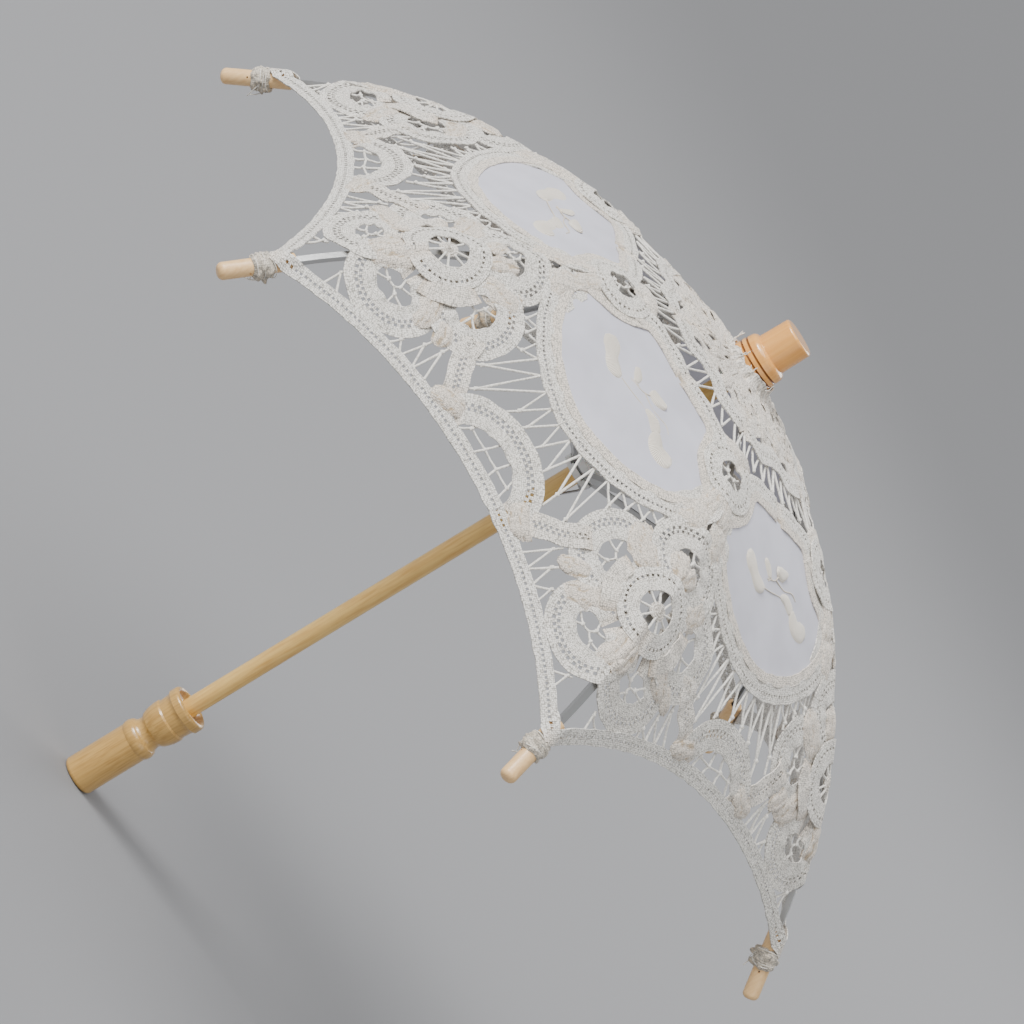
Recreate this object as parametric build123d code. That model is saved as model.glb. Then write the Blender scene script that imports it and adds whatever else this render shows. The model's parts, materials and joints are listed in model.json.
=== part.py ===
from build123d import *
import os
from math import asin, atan2, cos, degrees, hypot, radians, sin

# A small folding lace parasol, standing upright: z = 0 is the middle of the handle's end, +Z runs up
# the shaft to the ferrule, and rib 1 points along +X. All sizes are in millimetres.

# --- driving dimensions -------------------------------------------------------------------------
TOTAL_LENGTH = 347.5
RIBS = 6
RIB_STEP = 360 / RIBS            # degrees between ribs
HALF_STEP = RIB_STEP / 2         # from a rib to the middle of its panel

SHAFT_R = 4.0                    # 8 mm dowel
SHAFT_FOOT = 12.0                # the dowel's foot inside the handle
SHAFT_HEAD = 339.0               # the dowel's head inside the ferrule
GLUE_GAP = 0.02

HANDLE_LENGTH = 57.0
HANDLE_R = 8.5
HANDLE_RING_R = 10.15

FERRULE_FOOT = 321.8
FERRULE_BASE_R = 11.3
FERRULE_TOP_R = 8.5

HINGE_R = 6.5                    # circle of the wire that the ribs turn on
HINGE_Z = 318.0
NOTCH_R = 9.0
NOTCH_FOOT = 313.5
NOTCH_TOP = 320.2
WIRE_R = 0.5
EYE_HOLE_R = 0.6
SLOT_WIDTH = 1.9
TONGUE = 1.3                     # flattened steel at each eye

RIB_BEND_R = 236.0               # the ribs' curve
RIB_BEND_DEG = 53.3              # how much of it a rib has before its straight end
RIB_WIDTH = 2.8
RIB_HEIGHT = 2.2
RIB_WALL = 0.45
RIB_NECK = 7.0                   # flat length between eye and channel
RIB_INSERT = 15.0                # straight end that sits in the wooden tip

TIP_R = 3.4
TIP_LENGTH = 30.0
TIP_GAP = 2.0                    # bare straight steel before the tip
TIP_BORE_R = 1.9
TIP_BORE = 15.5
TIP_HOLE_R = 0.4
TIP_HOLE_FROM_END = 12.0
TIP_TIE_FROM_END = 19.0           # the thread that ties the lace to the peg
THREAD_R = 0.4

RUNNER_FOOT = 242.0
RUNNER_R = 5.6
RUNNER_BORE_R = 4.25
RUNNER_LENGTH = 22.0
FLANGE_R = 7.9
FLANGE_HEIGHT = 7.5
RUNNER_HINGE_R = 6.4
RUNNER_HINGE_Z = RUNNER_FOOT + 3.5

JOINT_RUN = 107.0                # along the rib from its hinge to the stretcher's rivet
JOINT_DROP = 0.3
STRETCHER_WIDTH = 4.4
STRETCHER_HEIGHT = 2.2
STRETCHER_WALL = 0.5
STRETCHER_NECK = 11.0
FORK_DEPTH = 16.0
RIVET_R = 0.65
RIVET_HEAD_R = 1.0

CATCH_TURN = 30.0                # the catch lies on the shaft's side between two ribs
CATCH_WIRE_R = 0.5
CATCH_FOOT = 223.0
CATCH_TOP = 241.0
CATCH_RISE = 7.3
CATCH_SLOT = 1.7
CATCH_DEPTH = 6.8                # of the mortise, from the shaft's surface

LACE_CLEAR = 2.1                 # from the ribs' middle line to the lace's underside
LACE = 1.2
LACE_START_R = 16.0
LACE_MID_R = 163.0               # rim at the middle of a panel
LACE_RIB_R = 206.0               # rim at a rib
LACE_SEAM = 0.2                  # half the gap between neighbouring pieces of lace


# --- shared geometry ----------------------------------------------------------------------------
def around(shape, turn):
    """A copy of the shape turned about the shaft."""
    return Rot(0, 0, turn) * shape


def disc(radius, low, high, x=0.0):
    """An upright cylinder between two heights."""
    return Pos(x, 0, (low + high) / 2) * Cylinder(radius, high - low)


def turned(*edges):
    """A solid turned about the shaft's axis from a closed outline drawn as (radius, height)."""
    return revolve(Plane.XZ * make_face(edges), Axis.Z)


def cross_pin(radius, length, x, z):
    """A cylinder lying across the X-Z plane."""
    return Pos(x, 0, z) * Rot(90, 0, 0) * Cylinder(radius, length)


def rib_point(bend, lift=0.0):
    """(radius, height) on the rib's curve, `lift` outside its middle line."""
    out = HINGE_R + (RIB_BEND_R + lift) * sin(radians(bend))
    up = HINGE_Z - RIB_BEND_R + (RIB_BEND_R + lift) * cos(radians(bend))
    return out, up


def joint_point():
    """(radius, height) of the stretcher's rivet at rest."""
    return rib_point(degrees(JOINT_RUN / RIB_BEND_R), -JOINT_DROP)


def save(name, shape):
    shape.label = name
    export_step(shape, f"parts/{name}.step")


# --- wooden parts -------------------------------------------------------------------------------
def catch_slot():
    """The mortise that the catch springs out of."""
    height = CATCH_TOP - CATCH_FOOT + 5.5
    middle = SHAFT_R - CATCH_DEPTH / 2
    slot = Pos(middle, 0, CATCH_FOOT - 3.0 + height / 2) * Box(CATCH_DEPTH, CATCH_SLOT, height)
    return around(slot, CATCH_TURN)


def shaft():
    rod = disc(SHAFT_R, SHAFT_FOOT, SHAFT_HEAD)
    rod = chamfer(rod.edges().filter_by(GeomType.CIRCLE), 0.6)
    return rod - catch_slot()


def handle():
    """Turned grip: plain barrel, bead, narrow waist, bulb, step and a dished ring."""
    ring = HANDLE_RING_R
    outline = [
        Line((0, 0), (6.6, 0)),
        ThreePointArc((6.6, 0), (8.0, 0.6), (HANDLE_R, 2.2)),
        Line((HANDLE_R, 2.2), (HANDLE_R, 28.6)),
        ThreePointArc((HANDLE_R, 28.6), (9.05, 31.2), (8.3, 33.4)),
        ThreePointArc((8.3, 33.4), (6.95, 35.9), (8.1, 38.6)),
        ThreePointArc((8.1, 38.6), (9.25, 42.6), (9.45, 46.4)),
        Line((9.45, 46.4), (8.9, 47.2)),
        Line((8.9, 47.2), (9.1, 50.4)),
        ThreePointArc((9.1, 50.4), (9.5, 52.0), (ring, 53.0)),
        Line((ring, 53.0), (ring, 55.4)),
        ThreePointArc((ring, 55.4), (9.7, 56.5), (8.8, HANDLE_LENGTH)),
        ThreePointArc((8.8, HANDLE_LENGTH), (8.1, 56.6), (7.6, 55.8)),
        ThreePointArc((7.6, 55.8), (6.4, 54.4), (SHAFT_R + GLUE_GAP, 53.8)),
        Line((SHAFT_R + GLUE_GAP, 53.8), (SHAFT_R + GLUE_GAP, SHAFT_FOOT)),
        Line((SHAFT_R + GLUE_GAP, SHAFT_FOOT), (0, SHAFT_FOOT)),
        Line((0, SHAFT_FOOT), (0, 0)),
    ]
    return turned(*outline)


def ferrule():
    """Turned cap: base, two fine grooves, round shoulder and a straight top."""
    base, top, foot = FERRULE_BASE_R, FERRULE_TOP_R, FERRULE_FOOT
    outline = [
        Line((SHAFT_R + GLUE_GAP, foot), (base - 0.9, foot)),
        ThreePointArc((base - 0.9, foot), (base - 0.25, foot + 0.3), (base, foot + 1.2)),
        Line((base, foot + 1.2), (base - 0.15, foot + 5.0)),
        Line((base - 0.15, foot + 5.0), (base - 0.6, foot + 5.3)),
        Line((base - 0.6, foot + 5.3), (base - 0.2, foot + 5.6)),
        Line((base - 0.2, foot + 5.6), (base - 0.3, foot + 7.5)),
        Line((base - 0.3, foot + 7.5), (base - 0.75, foot + 7.8)),
        Line((base - 0.75, foot + 7.8), (base - 0.35, foot + 8.1)),
        Line((base - 0.35, foot + 8.1), (base - 0.5, foot + 9.6)),
        ThreePointArc((base - 0.5, foot + 9.6), (base - 1.1, foot + 11.4), (top + 0.2, foot + 12.3)),
        Line((top + 0.2, foot + 12.3), (top, TOTAL_LENGTH - 1.2)),
        ThreePointArc((top, TOTAL_LENGTH - 1.2), (top - 0.35, TOTAL_LENGTH - 0.35), (top - 1.2, TOTAL_LENGTH)),
        Line((top - 1.2, TOTAL_LENGTH), (0, TOTAL_LENGTH)),
        Line((0, TOTAL_LENGTH), (0, SHAFT_HEAD)),
        Line((0, SHAFT_HEAD), (SHAFT_R + GLUE_GAP, SHAFT_HEAD)),
        Line((SHAFT_R + GLUE_GAP, SHAFT_HEAD), (SHAFT_R + GLUE_GAP, foot)),
    ]
    return turned(*outline)


def rib_tip():
    """Wooden peg on a rib's end: round nose, blind bore and a small cross hole."""
    peg = Pos(0, 0, TIP_LENGTH / 2) * Cylinder(TIP_R, TIP_LENGTH)
    peg = fillet(peg.edges().filter_by(GeomType.CIRCLE).sort_by(Axis.Z)[-1], 2.2)
    peg = chamfer(peg.edges().filter_by(GeomType.CIRCLE).sort_by(Axis.Z)[0], 0.4)
    peg -= Pos(0, 0, TIP_BORE / 2) * Cylinder(TIP_BORE_R, TIP_BORE)
    peg -= cross_pin(TIP_HOLE_R, 4 * TIP_R, 0, TIP_LENGTH - TIP_HOLE_FROM_END)
    return on_rib_end(peg, TIP_GAP)


def on_rib_end(shape, distance):
    """Lays a shape made along +Z on the rib's straight end."""
    out, up = rib_point(RIB_BEND_DEG)
    return Pos(out, 0, up) * Rot(0, 90 + RIB_BEND_DEG, 0) * Pos(0, 0, distance) * shape


def tip_thread():
    """The lashing that ties the lace to the peg: two turns of thread side by side."""
    turn = Torus(TIP_R + THREAD_R + 0.1, THREAD_R)
    lashing = Pos(0, 0, -0.8 * THREAD_R) * turn + Pos(0, 0, 0.8 * THREAD_R) * turn
    return on_rib_end(lashing, TIP_GAP + TIP_LENGTH - TIP_TIE_FROM_END)


# --- steel parts --------------------------------------------------------------------------------
def wire_ring(radius, height):
    return Pos(0, 0, height) * Torus(radius, WIRE_R)


def channel_outline(width, height, wall):
    """Section of a channel, open below, with its middle at the origin."""
    trough = Pos(0, -wall) * Rectangle(width - 2 * wall, height)
    return Rectangle(width, height) - trough


def rib():
    """Curved steel channel with a flattened neck and eye, and a straight end for the wooden tip."""
    centre = Axis((HINGE_R, 0, HINGE_Z - RIB_BEND_R), (0, 1, 0))
    section = Pos(HINGE_R, 0, HINGE_Z) * (Plane.YZ * channel_outline(RIB_WIDTH, RIB_HEIGHT, RIB_WALL))
    start = degrees(RIB_NECK / RIB_BEND_R)
    curve = revolve(section, centre, RIB_BEND_DEG - start).rotate(centre, start)
    end = Pos(0, 0, RIB_INSERT / 2) * Rot(0, 0, 90) * extrude(
        channel_outline(RIB_WIDTH, RIB_HEIGHT, RIB_WALL), RIB_INSERT / 2, both=True
    )
    neck_section = Pos(HINGE_R, 0, HINGE_Z) * (Plane.YZ * Rectangle(TONGUE, RIB_HEIGHT))
    neck = revolve(neck_section, centre, start + 0.8)
    eye = cross_pin(1.5, TONGUE, HINGE_R, HINGE_Z)
    hole = cross_pin(EYE_HOLE_R, 2 * TONGUE, HINGE_R, HINGE_Z)
    out, up = joint_point()
    rivet_hole = cross_pin(RIVET_R + 0.1, 2 * RIB_WIDTH, out, up)
    return (curve + on_rib_end(end, 0) + neck + eye) - hole - rivet_hole


def stretcher_slope():
    out, up = joint_point()
    return degrees(atan2(up - RUNNER_HINGE_Z, out - RUNNER_HINGE_R))


def stretcher_length():
    out, up = joint_point()
    return hypot(up - RUNNER_HINGE_Z, out - RUNNER_HINGE_R)


def place_stretcher(shape):
    """Lays a shape made along +X from the origin between the runner's wire and the rib's rivet."""
    return Pos(RUNNER_HINGE_R, 0, RUNNER_HINGE_Z) * Rot(0, -stretcher_slope(), 0) * shape


def stretcher():
    """Steel channel with a flattened eye at the runner and two fork blades that straddle the rib."""
    length = stretcher_length()
    start = STRETCHER_NECK - 3.0
    half_inner = STRETCHER_WIDTH / 2 - STRETCHER_WALL
    blades = Pos(length, 0, 0) * Rot(90, 0, 0) * Cylinder(STRETCHER_HEIGHT / 2, STRETCHER_WIDTH)
    bar = Pos((start + length) / 2, 0, 0) * Box(length - start, STRETCHER_WIDTH, STRETCHER_HEIGHT)
    trough = Pos((start + length) / 2 + 2, 0, STRETCHER_WALL) * Box(
        length - start + 10, 2 * half_inner, STRETCHER_HEIGHT
    )
    throat = Pos(length, 0, 0) * Box(2 * FORK_DEPTH, 2 * half_inner, 2 * STRETCHER_HEIGHT)
    neck = Pos(STRETCHER_NECK / 2 + 1, 0, 0) * Box(STRETCHER_NECK + 2, TONGUE, STRETCHER_HEIGHT)
    eye = cross_pin(1.4, TONGUE, 0, 0)
    holes = cross_pin(RIVET_R, 2 * STRETCHER_WIDTH, length, 0)
    end_web = Pos(start + 0.6, 0, 0) * Box(1.2, STRETCHER_WIDTH, STRETCHER_HEIGHT)
    body = (bar + blades - trough - throat) + end_web + neck + eye
    return place_stretcher(body - holes - cross_pin(EYE_HOLE_R, 2 * TONGUE, 0, 0))


def joint_rivet():
    """The rivet's two headed ends, one in each fork blade. Its middle is left out: the open pivot."""
    inner = STRETCHER_WIDTH / 2 - STRETCHER_WALL
    outer = STRETCHER_WIDTH / 2
    length = stretcher_length()
    ends = []
    for side in (-1, 1):
        stub = Pos(length, side * (inner + outer) / 2, 0) * Rot(90, 0, 0) * Cylinder(
            RIVET_R - 0.01, outer - inner
        )
        head = Pos(length, side * (outer + 0.25), 0) * Rot(90, 0, 0) * Cylinder(RIVET_HEAD_R, 0.5)
        ends.append(place_stretcher(stub + head))
    return Compound(children=ends)


def spring_catch():
    """Bent spring wire: a foot in the mortise, a slope that faces the handle, and a square stop."""
    path = FilletPolyline(
        (-0.6, 0, CATCH_FOOT),
        (1.2, 0, CATCH_FOOT + 2.6),
        (CATCH_RISE, 0, CATCH_TOP - 1.0),
        (2.6, 0, CATCH_TOP),
        radius=0.9,
    )
    wire = sweep(Plane(origin=path @ 0, z_dir=path % 0) * Circle(CATCH_WIRE_R), path=path)
    return around(wire, CATCH_TURN)


# --- moulded parts ------------------------------------------------------------------------------
def wire_groove(radius, height, outer):
    """The groove that a wire ring is dropped into from outside."""
    depth = WIRE_R + 0.05
    ring = disc(outer + 1, height - depth, height + depth)
    return ring - disc(radius - depth, height - depth - 1, height + depth + 1)


def slots(low, high, inner, outer):
    """One radial slot for each rib or stretcher."""
    cut = Pos((inner + outer) / 2, 0, (low + high) / 2) * Box(outer - inner, SLOT_WIDTH, high - low)
    return [around(cut, number * RIB_STEP) for number in range(RIBS)]


def top_notch():
    """White moulded crown block on the shaft, slotted for the ribs and grooved for their wire."""
    block = disc(NOTCH_R, NOTCH_FOOT, NOTCH_TOP)
    block = fillet(block.edges().filter_by(GeomType.CIRCLE), 0.6)
    block -= disc(SHAFT_R + GLUE_GAP, NOTCH_FOOT - 1, NOTCH_TOP + 1)
    block -= wire_groove(HINGE_R, HINGE_Z, NOTCH_R)
    return block - slots(NOTCH_FOOT - 1, HINGE_Z + 1.6, HINGE_R - 1.65, NOTCH_R + 1)


def runner():
    """White moulded slider: sleeve and lobed flange, slotted for the stretchers."""
    sleeve = disc(RUNNER_R, RUNNER_FOOT, RUNNER_FOOT + RUNNER_LENGTH)
    flange = disc(FLANGE_R, RUNNER_FOOT, RUNNER_FOOT + FLANGE_HEIGHT)
    flange = fillet(flange.edges().filter_by(GeomType.CIRCLE), 0.7)
    body = sleeve + flange
    body -= disc(RUNNER_BORE_R, RUNNER_FOOT - 1, RUNNER_FOOT + RUNNER_LENGTH + 1)
    body -= wire_groove(RUNNER_HINGE_R, RUNNER_HINGE_Z, FLANGE_R)
    high = RUNNER_FOOT + FLANGE_HEIGHT + 1
    return body - slots(RUNNER_HINGE_Z - 1.6, high, RUNNER_HINGE_R - 1.6, FLANGE_R + 1)


# --- lace ---------------------------------------------------------------------------------------
def lace_profile(lift, end):
    """The lace's curve in the middle plane of a panel, from the crown to the rim."""
    flatten = cos(radians(HALF_STEP))
    start = degrees(asin((LACE_START_R - 3 - HINGE_R) / RIB_BEND_R))
    bends = [start + (end - start) * step / 8 for step in range(9)]
    points = [rib_point(bend, lift) for bend in bends]
    return [(out * flatten, up) for out, up in points]


def rim_cut():
    """An upright block whose concave inner side is the rim's scallop across one panel."""
    corner_x = LACE_RIB_R * cos(radians(HALF_STEP))
    corner_y = LACE_RIB_R * sin(radians(HALF_STEP))
    outline = [
        ThreePointArc((corner_x, -corner_y), (LACE_MID_R, 0), (corner_x, corner_y)),
        Line((corner_x, corner_y), (corner_x + 60, corner_y + 60)),
        Line((corner_x + 60, corner_y + 60), (corner_x + 60, -corner_y - 60)),
        Line((corner_x + 60, -corner_y - 60), (corner_x, -corner_y)),
    ]
    return Pos(0, 0, 150) * extrude(make_face(outline), 250)


def half_panel():
    """Half of the panel between two ribs, from its middle line (along +X) to the rib at +30 degrees.

    The whole panel bends only one way, like a curved sheet stretched between two equal ribs.
    """
    inner = lace_profile(LACE_CLEAR, 63)
    outer = lace_profile(LACE_CLEAR + LACE, 63)
    outline = [Spline(*inner), Line(inner[-1], outer[-1]), Spline(*outer[::-1]), Line(outer[0], inner[0])]
    width = LACE_RIB_R
    sheet = Pos(0, width / 2, 0) * extrude(Plane.XZ * make_face(outline), width / 2, both=True)
    past_rib = Rot(0, 0, HALF_STEP) * Pos(0, width - LACE_SEAM, 100) * Box(4 * width, 2 * width, 800)
    past_middle = Pos(0, LACE_SEAM - width, 100) * Box(4 * width, 2 * width, 800)
    core = disc(LACE_START_R, 0, 400)
    peg = around(on_rib_end(Pos(0, 0, 20) * Cylinder(TIP_R + 0.4, 60), 5), HALF_STEP)
    return sheet - past_rib - past_middle - rim_cut() - core - peg


def crown_lace():
    """The gathered middle of the lace, clamped between crown block and ferrule."""
    skirt = disc(LACE_START_R - 0.4, NOTCH_TOP + 0.1, NOTCH_TOP + 1.3)
    collar = disc(14.0, NOTCH_TOP + 0.1, NOTCH_TOP + 4.6)
    bore = disc(FERRULE_BASE_R + 0.3, FERRULE_FOOT - 0.1, NOTCH_TOP + 9)
    return skirt + collar - bore - disc(SHAFT_R + 0.2, NOTCH_TOP - 1, NOTCH_TOP + 9)


# --- assembly -----------------------------------------------------------------------------------
def main():
    os.makedirs("parts", exist_ok=True)
    save("shaft", shaft())
    save("handle", handle())
    save("ferrule", ferrule())
    save("top_notch", top_notch())
    save("notch_wire", wire_ring(HINGE_R, HINGE_Z))
    save("crown_lace", crown_lace())
    save("runner", runner())
    save("runner_wire", wire_ring(RUNNER_HINGE_R, RUNNER_HINGE_Z))
    save("spring_catch", spring_catch())
    repeated = {
        "rib": rib(),
        "rib_tip": rib_tip(),
        "tip_thread": tip_thread(),
        "stretcher": stretcher(),
        "joint_rivet": joint_rivet(),
    }
    ahead = around(half_panel(), -HALF_STEP)
    behind = mirror(ahead, Plane.XZ)
    for number in range(1, RIBS + 1):
        turn = (number - 1) * RIB_STEP
        for name, shape in repeated.items():
            save(f"{name}_{number}", around(shape, turn))
        save(f"lace_right_{number}", around(ahead, turn))
        save(f"lace_left_{number}", around(behind, turn))


main()
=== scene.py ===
"""Lace parasol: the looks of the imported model, laid out as an add-on and run as a script.

Lengths inside the making functions are millimetres; finished_object turns them into metres.
The canopy is six panels. Each panel bends one way only, so it has flat coordinates: `run` along its
middle line from the crown, and `side` across it. A rib has its own pair: `run` along the rib and
`side` off it, positive towards the next rib counter-clockwise from above.
"""
import bisect
import json
import math
import random

import bmesh
import bpy
from mathutils import Matrix, Vector, noise
from mathutils.bvhtree import BVHTree


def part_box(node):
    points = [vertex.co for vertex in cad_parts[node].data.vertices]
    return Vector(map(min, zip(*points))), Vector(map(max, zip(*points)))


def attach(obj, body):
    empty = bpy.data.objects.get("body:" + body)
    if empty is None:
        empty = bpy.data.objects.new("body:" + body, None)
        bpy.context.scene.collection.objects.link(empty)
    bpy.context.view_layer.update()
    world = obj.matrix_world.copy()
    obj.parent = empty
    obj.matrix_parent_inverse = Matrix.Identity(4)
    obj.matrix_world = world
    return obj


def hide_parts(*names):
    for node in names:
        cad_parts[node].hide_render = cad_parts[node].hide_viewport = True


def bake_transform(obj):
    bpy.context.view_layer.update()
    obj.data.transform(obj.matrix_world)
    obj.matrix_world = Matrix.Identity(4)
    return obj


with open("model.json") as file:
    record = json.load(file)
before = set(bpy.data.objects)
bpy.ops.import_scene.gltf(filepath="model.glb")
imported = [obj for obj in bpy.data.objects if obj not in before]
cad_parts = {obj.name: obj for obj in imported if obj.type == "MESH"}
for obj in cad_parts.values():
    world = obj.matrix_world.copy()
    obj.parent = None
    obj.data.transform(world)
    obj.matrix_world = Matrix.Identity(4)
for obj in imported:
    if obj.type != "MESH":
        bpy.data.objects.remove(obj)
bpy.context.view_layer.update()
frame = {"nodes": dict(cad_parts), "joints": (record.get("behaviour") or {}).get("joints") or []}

bl_info = {
    "name": "Lace parasol",
    "version": (1, 0, 0),
    "blender": (4, 5, 0),
    "location": "3D View > Sidebar > Parasol",
    "description": "Makes the lace, woods, steel and plastic of a small lace parasol round its CAD frame",
    "category": "Object",
}

# --- what the frame says ------------------------------------------------------------------------
JOINTS = {joint["name"]: joint for joint in frame["joints"]}
RIBS = sum(1 for name in JOINTS if name.startswith("rib_"))
RIB_STEP = 360 / RIBS
HALF_STEP = RIB_STEP / 2
HINGE_R = JOINTS["rib_1_fold"]["pos_m"][0] * 1000
HINGE_Z = JOINTS["rib_1_fold"]["pos_m"][2] * 1000
FERRULE_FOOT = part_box("ferrule")[0].z * 1000
FERRULE_GROOVES = (5.3, 7.8)     # the two turned grooves above the ferrule's foot

# --- the canopy's surface -----------------------------------------------------------------------
RIB_BEND = 236.0                 # radius of the ribs' curve
LACE_LIFT = 2.7                  # the lace's middle above the ribs' middle line
FLATTEN = math.cos(math.radians(HALF_STEP))
STRAIGHT_FROM = 219.5            # run along a rib where its straight end starts
PEG_R = 3.4
PEG_GAP = 2.0                    # bare steel between a rib's curve and its peg
PEG_CLEAR = PEG_R + 1.2          # how far the lace's middle stays from a peg's axis
RIM_MIDDLE_R = 163.0             # plan radius of the rim in the middle of a panel
RIM_RIB_R = 206.0                # plan radius of the rim at a rib


def millimetres(metres):
    return metres * 1000


def table_of_runs(steps=800, most=80.0):
    """Runs along a panel's middle line at evenly spaced bends, by adding up short lengths."""
    runs = [0.0]
    step = math.radians(most) / steps
    for number in range(steps):
        bend = (number + 0.5) * step
        pace = math.sqrt((FLATTEN * math.cos(bend)) ** 2 + math.sin(bend) ** 2)
        runs.append(runs[-1] + (RIB_BEND + LACE_LIFT) * pace * step)
    return runs, step


RUNS, BEND_STEP = table_of_runs()


def bend_of_run(run):
    at = min(max(bisect.bisect_left(RUNS, run), 1), len(RUNS) - 1)
    part = (run - RUNS[at - 1]) / (RUNS[at] - RUNS[at - 1])
    return (at - 1 + part) * BEND_STEP


def run_of_bend(bend):
    at = min(int(bend / BEND_STEP), len(RUNS) - 2)
    return RUNS[at] + (RUNS[at + 1] - RUNS[at]) * (bend / BEND_STEP - at)


def plan_radius(bend):
    return HINGE_R + (RIB_BEND + LACE_LIFT) * math.sin(bend)


def on_panel(turn, run, side, lift=0.0):
    """The point of the panel whose middle lies at `turn` degrees."""
    bend = bend_of_run(run)
    out = FLATTEN * plan_radius(bend)
    up = HINGE_Z - RIB_BEND + (RIB_BEND + LACE_LIFT) * math.cos(bend)
    steep = math.hypot(math.sin(bend), FLATTEN * math.cos(bend))
    out += lift * math.sin(bend) / steep
    up += lift * FLATTEN * math.cos(bend) / steep
    angle = math.radians(turn)
    x = out * math.cos(angle) - side * math.sin(angle)
    y = out * math.sin(angle) + side * math.cos(angle)
    return Vector((x, y, up))


def on_rib(turn, run, side, lift=0.0):
    """The point `side` off the rib at `turn` degrees, on the panel that the sign of `side` names."""
    bend = run / RIB_BEND
    half_gap = plan_radius(bend) / 2
    lean = math.atan2(0.5, math.hypot(FLATTEN, math.tan(bend)))
    panel_run = run_of_bend(bend) + abs(side) * math.sin(lean)
    off = half_gap - abs(side) * math.cos(lean)
    sign = 1 if side >= 0 else -1
    return on_panel(turn + sign * HALF_STEP, panel_run, -sign * off, lift)


def ring_round(bend_run, share):
    """(panel run, side) of a point `share` (-1 to 1) of the way from rib to rib at one rib run."""
    bend = bend_run / RIB_BEND
    return run_of_bend(bend), share * plan_radius(bend) / 2


def rim_run(side):
    """Run of the rim's edge across a panel: a concave arc in plan."""
    corner_out = RIM_RIB_R * FLATTEN
    corner_side = RIM_RIB_R / 2
    sag = corner_out - RIM_MIDDLE_R
    radius = (corner_side**2 + sag**2) / (2 * sag)
    out = RIM_MIDDLE_R + radius - math.sqrt(radius**2 - side**2)
    return run_of_bend(math.asin((out / FLATTEN - HINGE_R) / (RIB_BEND + LACE_LIFT)))


def peg_axis():
    """Where a rib's straight end starts, the way it runs, and its up, as (out, 0, height)."""
    bend = STRAIGHT_FROM / RIB_BEND
    sin, cos = math.sin(bend), math.cos(bend)
    start = Vector((HINGE_R + RIB_BEND * sin, 0, HINGE_Z - RIB_BEND + RIB_BEND * cos))
    return start, Vector((cos, 0, -sin)), Vector((sin, 0, cos))


def near_peg(point):
    """How far a point must rise to clear the wooden peg under it, and the way it rises."""
    angle = math.atan2(point.y, point.x)
    rib = round(math.degrees(angle) / RIB_STEP) * math.radians(RIB_STEP)
    out = point.x * math.cos(rib) + point.y * math.sin(rib)
    off = -point.x * math.sin(rib) + point.y * math.cos(rib)
    start, along, up = peg_axis()
    here = Vector((out, 0, point.z)) - start
    if here.dot(along) < 0 or abs(off) > PEG_CLEAR:
        return Vector((0, 0, 0))
    rise = max(math.sqrt(max(PEG_CLEAR**2 - off**2, 0)) - here.dot(up), 0)
    return rise * Vector((up.x * math.cos(rib), up.x * math.sin(rib), up.z))


# --- colours and nodes --------------------------------------------------------------------------
def linear(value):
    """An sRGB hex colour as linear RGBA; anything else as it is."""
    if not isinstance(value, str):
        return value
    parts = [int(value[at : at + 2], 16) / 255 for at in (1, 3, 5)]
    return tuple(p / 12.92 if p <= 0.04045 else ((p + 0.055) / 1.055) ** 2.4 for p in parts) + (1.0,)


def feed(tree, node, inputs):
    """Sets a node's inputs: each is a value, a hex colour, or a socket to link."""
    for name, value in inputs.items():
        if isinstance(value, bpy.types.NodeSocket):
            tree.links.new(value, node.inputs[name])
        else:
            node.inputs[name].default_value = linear(value)


def add(tree, kind, inputs=None, **settings):
    """One node with its settings and its inputs."""
    made = tree.nodes.new(kind)
    for name, value in settings.items():
        setattr(made, name, value)
    feed(tree, made, inputs or {})
    return made


def new_material(name):
    """A named material, its node tree, its Principled shader and the object's coordinates."""
    material = bpy.data.materials.new(name)
    material.use_nodes = True
    tree = material.node_tree
    place = add(tree, "ShaderNodeTexCoord").outputs["Object"]
    return material, tree, tree.nodes["Principled BSDF"], place


def weave_uv(tree):
    """Coordinates along and across the cloth, in millimetres."""
    return add(tree, "ShaderNodeUVMap", uv_map="weave").outputs["UV"]


def mapped(tree, place, scale):
    """Coordinates stretched along some axes."""
    return add(tree, "ShaderNodeMapping", {"Vector": place, "Scale": scale}).outputs["Vector"]


def cloudy(tree, place, scale, detail, output="Fac"):
    """A noise texture's output."""
    made = add(tree, "ShaderNodeTexNoise", {"Vector": place, "Scale": scale, "Detail": detail})
    return made.outputs[output]


def ramp(tree, factor, *stops):
    """A colour ramp through (place, hex colour) stops."""
    made = add(tree, "ShaderNodeValToRGB", {"Fac": factor})
    elements = made.color_ramp.elements
    elements.remove(elements[0])
    elements[0].position, elements[0].color = stops[0][0], linear(stops[0][1])
    for place, colour in stops[1:]:
        elements.new(place).color = linear(colour)
    return made.outputs["Color"]


def mixed(tree, factor, first, second, blend="MIX"):
    inputs = {"Factor": factor, 6: first, 7: second}
    return add(tree, "ShaderNodeMix", inputs, data_type="RGBA", blend_type=blend).outputs[2]


def finish_shader(tree, shader, height, distance, strength, inputs):
    """Gives the shader its bump and its other inputs."""
    made = add(tree, "ShaderNodeBump", {"Height": height, "Distance": distance, "Strength": strength})
    feed(tree, shader, {"Normal": made.outputs["Normal"], **inputs})


# --- materials ----------------------------------------------------------------------------------
# cotton is rough, with the faint halo that loose fibres give
COTTON = {"Roughness": 0.85, "IOR": 1.45, "Sheen Weight": 0.25, "Sheen Roughness": 0.5}
GROOVE_HALF = 0.00045            # half the width of a turned groove, in metres


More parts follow.
